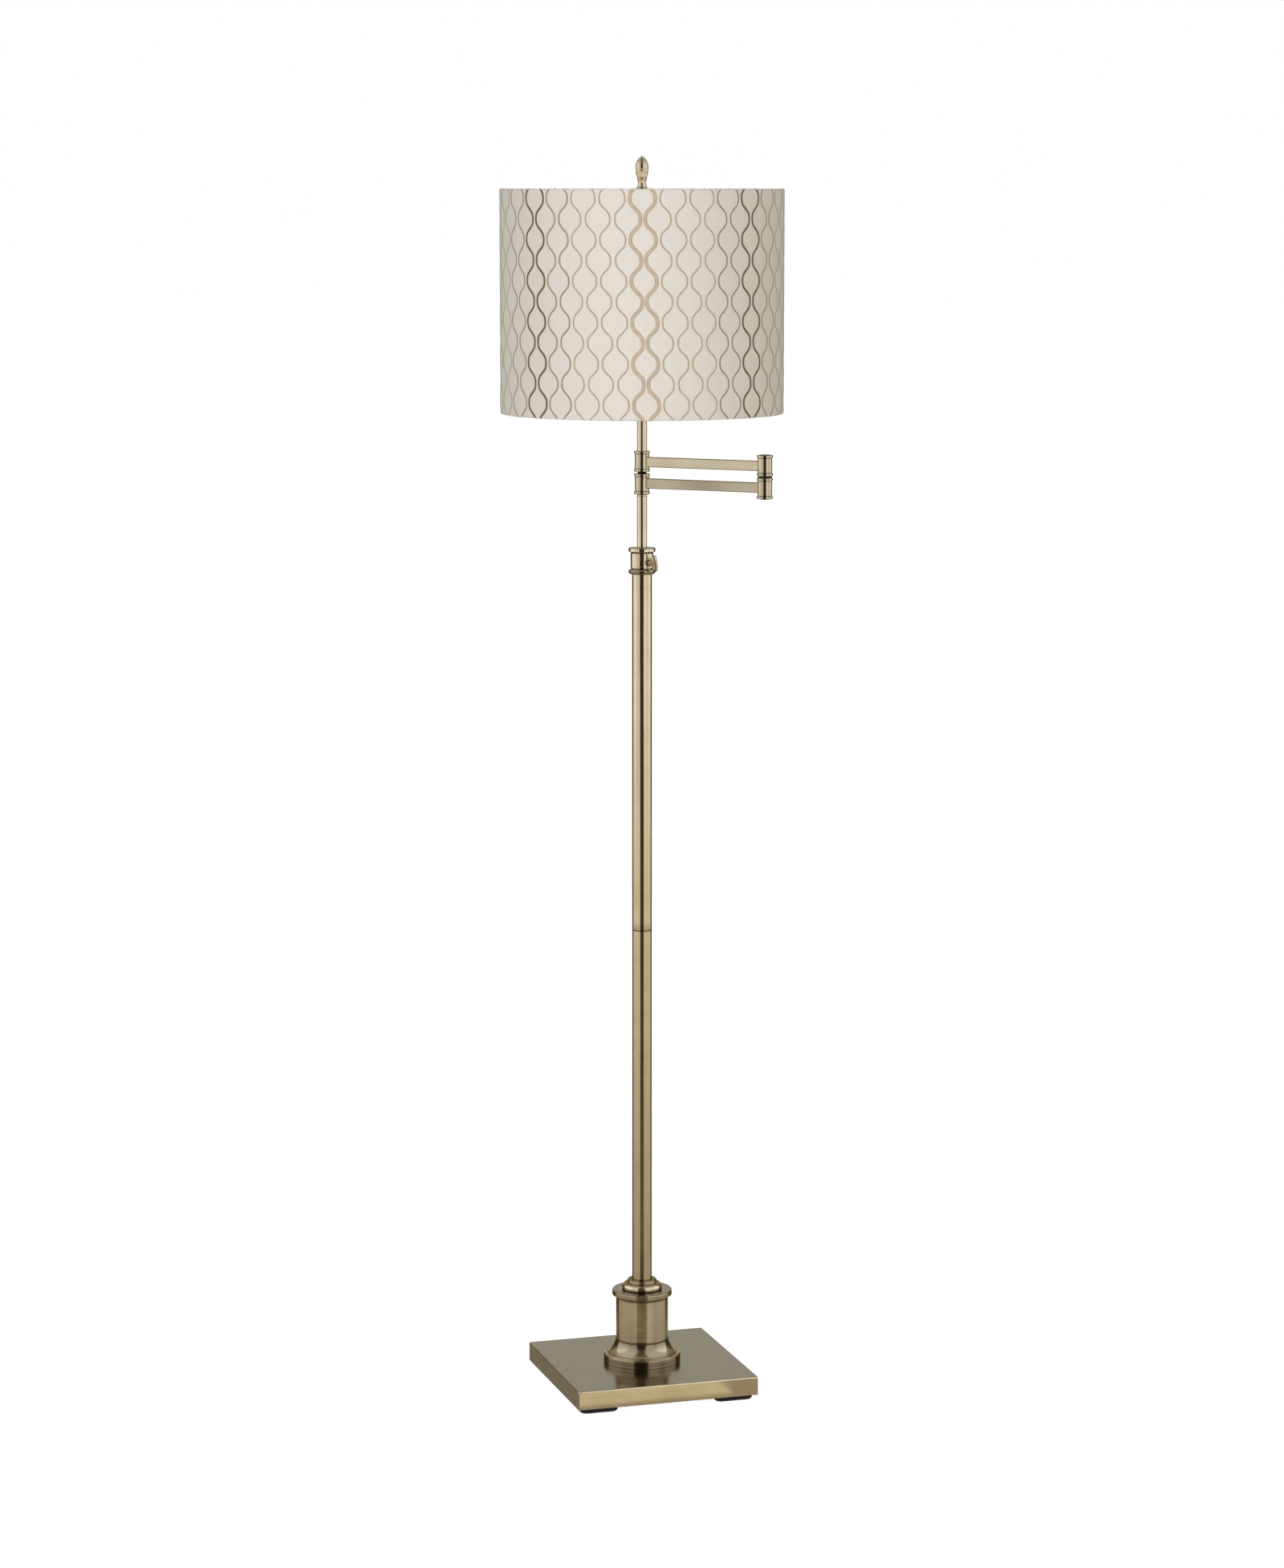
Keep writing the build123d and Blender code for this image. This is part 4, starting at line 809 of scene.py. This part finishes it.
# %% Group: linen weave
along_slub = 14.0
across_slub = 700.0
linen_weave, given, result = new_group(
    "linen_weave", (("Place", vector), ("Pitch", number)), (("Height", number), ("Slub", number)))
weave_math = partial(reckon, linen_weave)
across, along, _ = put(linen_weave, "ShaderNodeSeparateXYZ", {0: given["Place"]}).outputs
half_turn = weave_math("DIVIDE", pi, given["Pitch"])
warp = weave_math("SINE", weave_math("MULTIPLY", across, half_turn))
weft = weave_math("SINE", weave_math("MULTIPLY", along, half_turn))
on_top = weave_math("GREATER_THAN", weave_math("MULTIPLY", warp, weft), 0.0)
below = weave_math("SUBTRACT", 1.0, on_top)
warp_round = weave_math("MULTIPLY", weave_math("ABSOLUTE", warp), on_top)
weft_round = weave_math("MULTIPLY", weave_math("ABSOLUTE", weft), below)
linen_weave.links.new(weave_math("ADD", warp_round, weft_round), result["Height"])
streaks = []
for stretch in ((along_slub, across_slub, 1.0), (across_slub, along_slub, 1.0)):
    pulled = put(linen_weave, "ShaderNodeVectorMath", {0: given["Place"], 1: stretch},
                 operation="MULTIPLY")
    noise = put(linen_weave, "ShaderNodeTexNoise", {
        "Vector": pulled.outputs[0], "Scale": 1.0, "Detail": 2.0})
    streaks.append(noise.outputs[0])
linen_weave.links.new(weave_math("MULTIPLY", weave_math("ADD", *streaks), 0.5), result["Slub"])
print("group", linen_weave.name, "has", len(linen_weave.nodes), "nodes")

# %% The cloth finish
linen_light = (0.835, 0.80, 0.745, 1.0)
linen_shaded = (0.745, 0.71, 0.645, 1.0)
linen_sheen = (0.9, 0.78, 0.55, 1.0)
linen_pitch = 0.0004
linen_relief = 0.0001
# The cloth is painted greyer near its two rolled edges: painted shade where the roll turns away.
rim_shade_grey = (0.57, 0.545, 0.48, 1.0)
rim_half = 0.0022
rim_depth = 0.6
linen, tree, out = fresh_material("off_white_linen")
cloth_place = put(tree, "ShaderNodeUVMap", uv_map="weave_map").outputs[0]
weave = put(tree, "ShaderNodeGroup", {"Place": cloth_place, "Pitch": linen_pitch}, node_tree=linen_weave)
slub = reckon(tree, "MULTIPLY", remap(tree, weave.outputs["Slub"], 0.3, 0.7), 0.5)
# The gaps between threads are painted darker: painted shade.
gaps = remap(tree, weave.outputs["Height"], 0.0, 1.0, 0.35, 0.0)
woven = tint(tree, reckon(tree, "ADD", slub, gaps), linen_light, linen_shaded)
place = put(tree, "ShaderNodeTexCoord").outputs["Object"]
height = put(tree, "ShaderNodeSeparateXYZ", {0: place}).outputs["Z"]
rim_shade = darkest(tree, height, [(level, rim_half, rim_depth) for level in (shade_bottom, shade_top)])
colour = tint(tree, rim_shade, woven, rim_shade_grey)
bump = put(tree, "ShaderNodeBump", {
    "Strength": 0.25, "Distance": linen_relief, "Height": weave.outputs["Height"]})
shader = put(tree, "ShaderNodeBsdfPrincipled", {
    "Base Color": colour, "Roughness": 0.85, "Normal": bump.outputs[0],
    "Sheen Weight": 0.05, "Sheen Tint": linen_sheen})
tree.links.new(shader.outputs[0], out.inputs["Surface"])
cloth.data.materials.append(linen)
print(cloth.name, "wears", linen.name)

# %% [markdown]
# ## The embroidery
# Wavy lines run down the cloth in mirrored pairs, so that they open and close like a chain of
# leaves. Every eighth pair is a broad tan one in padded satin stitch; the thin lines beside it
# are sand, then taupe, then a dark brown half way to the next tan pair. A line is modelled once,
# straight, as a rounded rib of stitches, and each copy is then swayed and laid round the drum.

# %% One straight rib of stitches
line_steps = 122
wall_length = shade_top - shade_bottom - 2 * roll
over_edge = roll * pi / 2
line_length = wall_length + 2 * over_edge


def stitched_rib(name, width, rise, sides):
    """A straight rib of satin stitch, half sunk in the cloth, standing on the origin."""
    bpy.ops.object.select_all(action="DESELECT")
    bpy.ops.mesh.primitive_circle_add(vertices=sides, radius=0.5, fill_type="NGON")
    rib = bpy.context.object
    rib.name = name
    rib.scale = (width, 2 * rise, 1.0)
    bpy.ops.object.transform_apply(location=False, rotation=False, scale=True)
    bpy.ops.object.mode_set(mode="EDIT")
    step_up = {"value": (0.0, 0.0, line_length / line_steps)}
    for _ in range(line_steps):
        bpy.ops.mesh.extrude_region_move(TRANSFORM_OT_translate=step_up)
    bpy.ops.mesh.select_all(action="SELECT")
    bpy.ops.mesh.normals_make_consistent(inside=False)
    bpy.ops.object.mode_set(mode="OBJECT")
    stitch_map = rib.data.uv_layers.new(name="stitch_map")
    for loop in rib.data.loops:
        point = rib.data.vertices[loop.vertex_index].co
        stitch_map.data[loop.index].uv = (point.x, point.z)
    return rib


print("each line is", round(line_length, 4), "m long, over both rolled edges")

# %% [markdown]
# Along a line the wave is a cosine with a little of its third harmonic taken off, which makes the
# bulges rounder. A stitch lies square across its line, so a point beside the line moves down the
# slope as well as round the drum, except at the two ends, which are cut level. The lines lean a
# little, as the cloth was stretched on.

# %% Sway a rib and lay it round the drum
period = 0.0499
first_bulge = 0.0114
roundness = 0.08
lean = 0.02
end_run = 0.006
sunk_share = 0.6
pair_count = 30
pair_pitch = 2 * pi / pair_count
front_pair = radians(-105.9)


def on_outline(level, lift):
    """Radius and height of a point on the wall, or on the rolled edge where the level runs past it."""
    edge = min(max(level, shade_bottom + roll), shade_top - roll)
    bend = min(max((level - edge) / roll, -pi / 2), pi / 2)
    return shade_radius - roll + (roll + lift) * cos(bend), edge + (roll + lift) * sin(bend)


def wave(phase):
    """A wave from 1 to -1 with rounder bulges than a cosine, and its slope."""
    shape = (cos(phase) - roundness * cos(3 * phase)) / (1 - roundness)
    slope = (3 * roundness * sin(3 * phase) - sin(phase)) / (1 - roundness)
    return shape, slope


def lay_on_drum(rib, pair, side, mean, swing):
    """Moves a straight rib's points onto the drum, along its wavy line."""
    for vertex in rib.data.vertices:
        x, y, z = vertex.co
        level = shade_bottom + roll - over_edge + z
        shape, steepness = wave(2 * pi * (shade_top - first_bulge - level) / period)
        sway = side * (mean + swing * shape) + lean * (middle - level)
        slope = -side * swing * steepness * 2 * pi / period
        length = sqrt(1.0 + slope ** 2)
        square_on = min(1.0, z / end_run, (line_length - z) / end_run)
        drop = -x * slope / length * square_on
        angle = front_pair + pair * pair_pitch + (sway + x * length + slope * drop) / shade_radius
        radius, height = on_outline(level + drop, -y if y < 0 else -sunk_share * y)
        vertex.co = (radius * cos(angle), radius * sin(angle), height)


print(pair_count, "pairs of lines,", round(1000 * pair_pitch * shade_radius, 1), "mm apart")

# %% Which thread each pair is worked in
kinds = {
    "tan": {"width": 0.0048, "rise": 0.0007, "sides": 10, "mean": 0.0091, "swing": 0.0063},
    "brown": {"width": 0.0030, "rise": 0.0006, "sides": 8, "mean": 0.0094, "swing": 0.0066},
    "taupe": {"width": 0.0020, "rise": 0.0005, "sides": 8, "mean": 0.0095, "swing": 0.0064},
    "sand": {"width": 0.0019, "rise": 0.0005, "sides": 8, "mean": 0.0095, "swing": 0.0064},
}
pairs_in_repeat = 8
kind_at = {0: "tan", 3: "taupe", 4: "brown", 5: "taupe"}


def kind_of(pair):
    """Which thread a pair of lines is worked in, counted from the front pair."""
    return kind_at.get(abs(pair) % pairs_in_repeat, "sand")


print("threads from the front pair on:", [kind_of(pair) for pair in range(pairs_in_repeat)])

# %% Work all the lines
stitch_smooth_below = radians(60)
embroidery = {}
for kind, size in kinds.items():
    master = stitched_rib(kind + "_rib", size["width"], size["rise"], size["sides"])
    lines = []
    for pair in range(-pair_count // 2, pair_count // 2):
        if kind_of(pair) != kind:
            continue
        for side in (-1, 1):
            line = master.copy()
            line.data = master.data.copy()
            bpy.context.scene.collection.objects.link(line)
            lay_on_drum(line, pair, side, size["mean"], size["swing"])
            lines.append(line)
    bpy.ops.object.select_all(action="DESELECT")
    for line in lines:
        line.select_set(True)
    bpy.context.view_layer.objects.active = lines[0]
    bpy.ops.object.join()
    embroidery[kind] = bpy.context.object
    embroidery[kind].name = kind + "_embroidery"
    bpy.ops.object.mode_set(mode="EDIT")
    bpy.ops.mesh.select_all(action="SELECT")
    bpy.ops.mesh.normals_make_consistent(inside=False)
    bpy.ops.object.mode_set(mode="OBJECT")
    bpy.ops.object.shade_smooth_by_angle(angle=stitch_smooth_below)
    bpy.data.objects.remove(master)
    print(kind, "lines:", len(lines), "faces:", len(embroidery[kind].data.polygons))

# %% [markdown]
# Satin stitch is many fine threads laid side by side across the line, a little on the slant. A
# group draws them along the rib's own map, with painted shade in the grooves between threads, and
# finds the rib's edges, where the stitches go down into the cloth and are painted darker, as
# painted shade of the rib's roundness.

# %% Group: satin stitch
uneven_scale = 160.0
edge_sharpness = 3.0
satin_stitch, given, result = new_group(
    "satin_stitch", (("Place", vector), ("Pitch", number), ("Slant", number), ("Width", number)),
    (("Height", number), ("Shade", number), ("Edge", number)))
stitch_math = partial(reckon, satin_stitch)
across, along, _ = put(satin_stitch, "ShaderNodeSeparateXYZ", {0: given["Place"]}).outputs
slanted = stitch_math("ADD", along, stitch_math("MULTIPLY", across, given["Slant"]))
turns = stitch_math("MULTIPLY", stitch_math("DIVIDE", slanted, given["Pitch"]), 2 * pi)
ridges = stitch_math("MULTIPLY_ADD", stitch_math("SINE", turns), 0.5, 0.5)
uneven = put(satin_stitch, "ShaderNodeTexNoise", {
    "Vector": given["Place"], "Scale": uneven_scale, "Detail": 2.0})
out_from_middle = stitch_math("DIVIDE", stitch_math("ABSOLUTE", across), given["Width"])
edge = stitch_math("POWER", stitch_math("MULTIPLY", out_from_middle, 2.0), edge_sharpness)
satin_stitch.links.new(edge, result["Edge"])
satin_stitch.links.new(ridges, result["Height"])
satin_stitch.links.new(uneven.outputs[0], result["Shade"])
print("group", satin_stitch.name, "has", len(satin_stitch.nodes), "nodes")

# %% Thread finishes
stitch_slant = 0.45
stitch_relief = 0.00015
edge_shade_tone = 0.62
edge_shade_depth = 0.8


def thread_finish(kind, light, shaded, pitch):
    """Embroidery thread in one colour."""
    material, tree, out = fresh_material(kind + "_thread")
    rib_place = put(tree, "ShaderNodeUVMap", uv_map="stitch_map").outputs[0]
    feeds = {"Place": rib_place, "Pitch": pitch, "Slant": stitch_slant, "Width": kinds[kind]["width"]}
    stitch = put(tree, "ShaderNodeGroup", feeds, node_tree=satin_stitch)
    uneven = remap(tree, stitch.outputs["Shade"], 0.3, 0.7, 0.0, 0.6)
    # The grooves between stitches are painted darker: painted shade.
    gaps = remap(tree, stitch.outputs["Height"], 0.0, 1.0, 0.4, 0.0)
    worked = tint(tree, reckon(tree, "ADD", uneven, gaps), light, shaded)
    # The rib's edges are painted darker: painted shade of its roundness.
    sunk = [v * edge_shade_tone for v in shaded[:3]] + [1.0]
    colour = tint(tree, reckon(tree, "MULTIPLY", stitch.outputs["Edge"], edge_shade_depth), worked, sunk)
    bump = put(tree, "ShaderNodeBump", {
        "Strength": 0.5, "Distance": stitch_relief, "Height": stitch.outputs["Height"]})
    shader = put(tree, "ShaderNodeBsdfPrincipled", {
        "Base Color": colour, "Roughness": 0.55, "Normal": bump.outputs[0], "Sheen Weight": 0.2})
    tree.links.new(shader.outputs[0], out.inputs["Surface"])
    embroidery[kind].data.materials.append(material)
    print(embroidery[kind].name, "wears", material.name)


thread_finish("tan", (0.675, 0.56, 0.425, 1.0), (0.55, 0.44, 0.315, 1.0), 0.0006)
thread_finish("brown", (0.205, 0.138, 0.068, 1.0), (0.14, 0.092, 0.043, 1.0), 0.0005)
thread_finish("taupe", (0.42, 0.33, 0.215, 1.0), (0.33, 0.255, 0.16, 1.0), 0.0005)
thread_finish("sand", (0.60, 0.50, 0.36, 1.0), (0.49, 0.40, 0.275, 1.0), 0.0005)

# %% [markdown]
# Where the cloth meets itself at the back, one edge is folded under and glued over the other. A
# narrow strip, bent round the drum, makes that lap. Its two long edges come down to the cloth.

# %% The lap at the back
lap_width = 0.012
lap_rows = 8
lap_lift = 0.0007
lap_fall = 0.0006
lap_edge_sharpness = 6
bpy.ops.object.select_all(action="DESELECT")
bpy.ops.mesh.primitive_grid_add(x_subdivisions=lap_rows, y_subdivisions=2, size=1.0)
lap = bpy.context.object
lap.name = "shade_cloth_lap"
lap_map = lap.data.uv_layers.new(name="weave_map")
for loop in lap.data.loops:
    point = lap.data.vertices[loop.vertex_index].co
    lap_map.data[loop.index].uv = (point.x * lap_width, point.y * wall_length)
for vertex in lap.data.vertices:
    angle = seam_angle - vertex.co.x * lap_width / shade_radius
    out_to_edge = 2 * abs(vertex.co.x)
    radius = shade_radius + lap_lift - lap_fall * out_to_edge ** lap_edge_sharpness
    height = middle + vertex.co.y * wall_length
    vertex.co = (radius * cos(angle), radius * sin(angle), height)
outer_face = lap.data.polygons[0]
if outer_face.normal.dot(Vector((outer_face.center.x, outer_face.center.y, 0.0))) < 0:
    lap.data.flip_normals()
thicken(lap)
lap.data.materials.append(linen)
print("lap has", len(lap.data.polygons), "faces")

# %% [markdown]
# ## Ride with the upper arm
# The cloth stands for the CAD shade solid and turns with the upper arm, and the threads and the
# lap go with it.

# %% Hang the shade on the upper arm
threads = list(embroidery.values())
for piece in [cloth, lap] + threads:
    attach(piece, "upper_arm")
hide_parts("shade_fabric")
print("pieces on the upper arm:", 2 + len(threads))
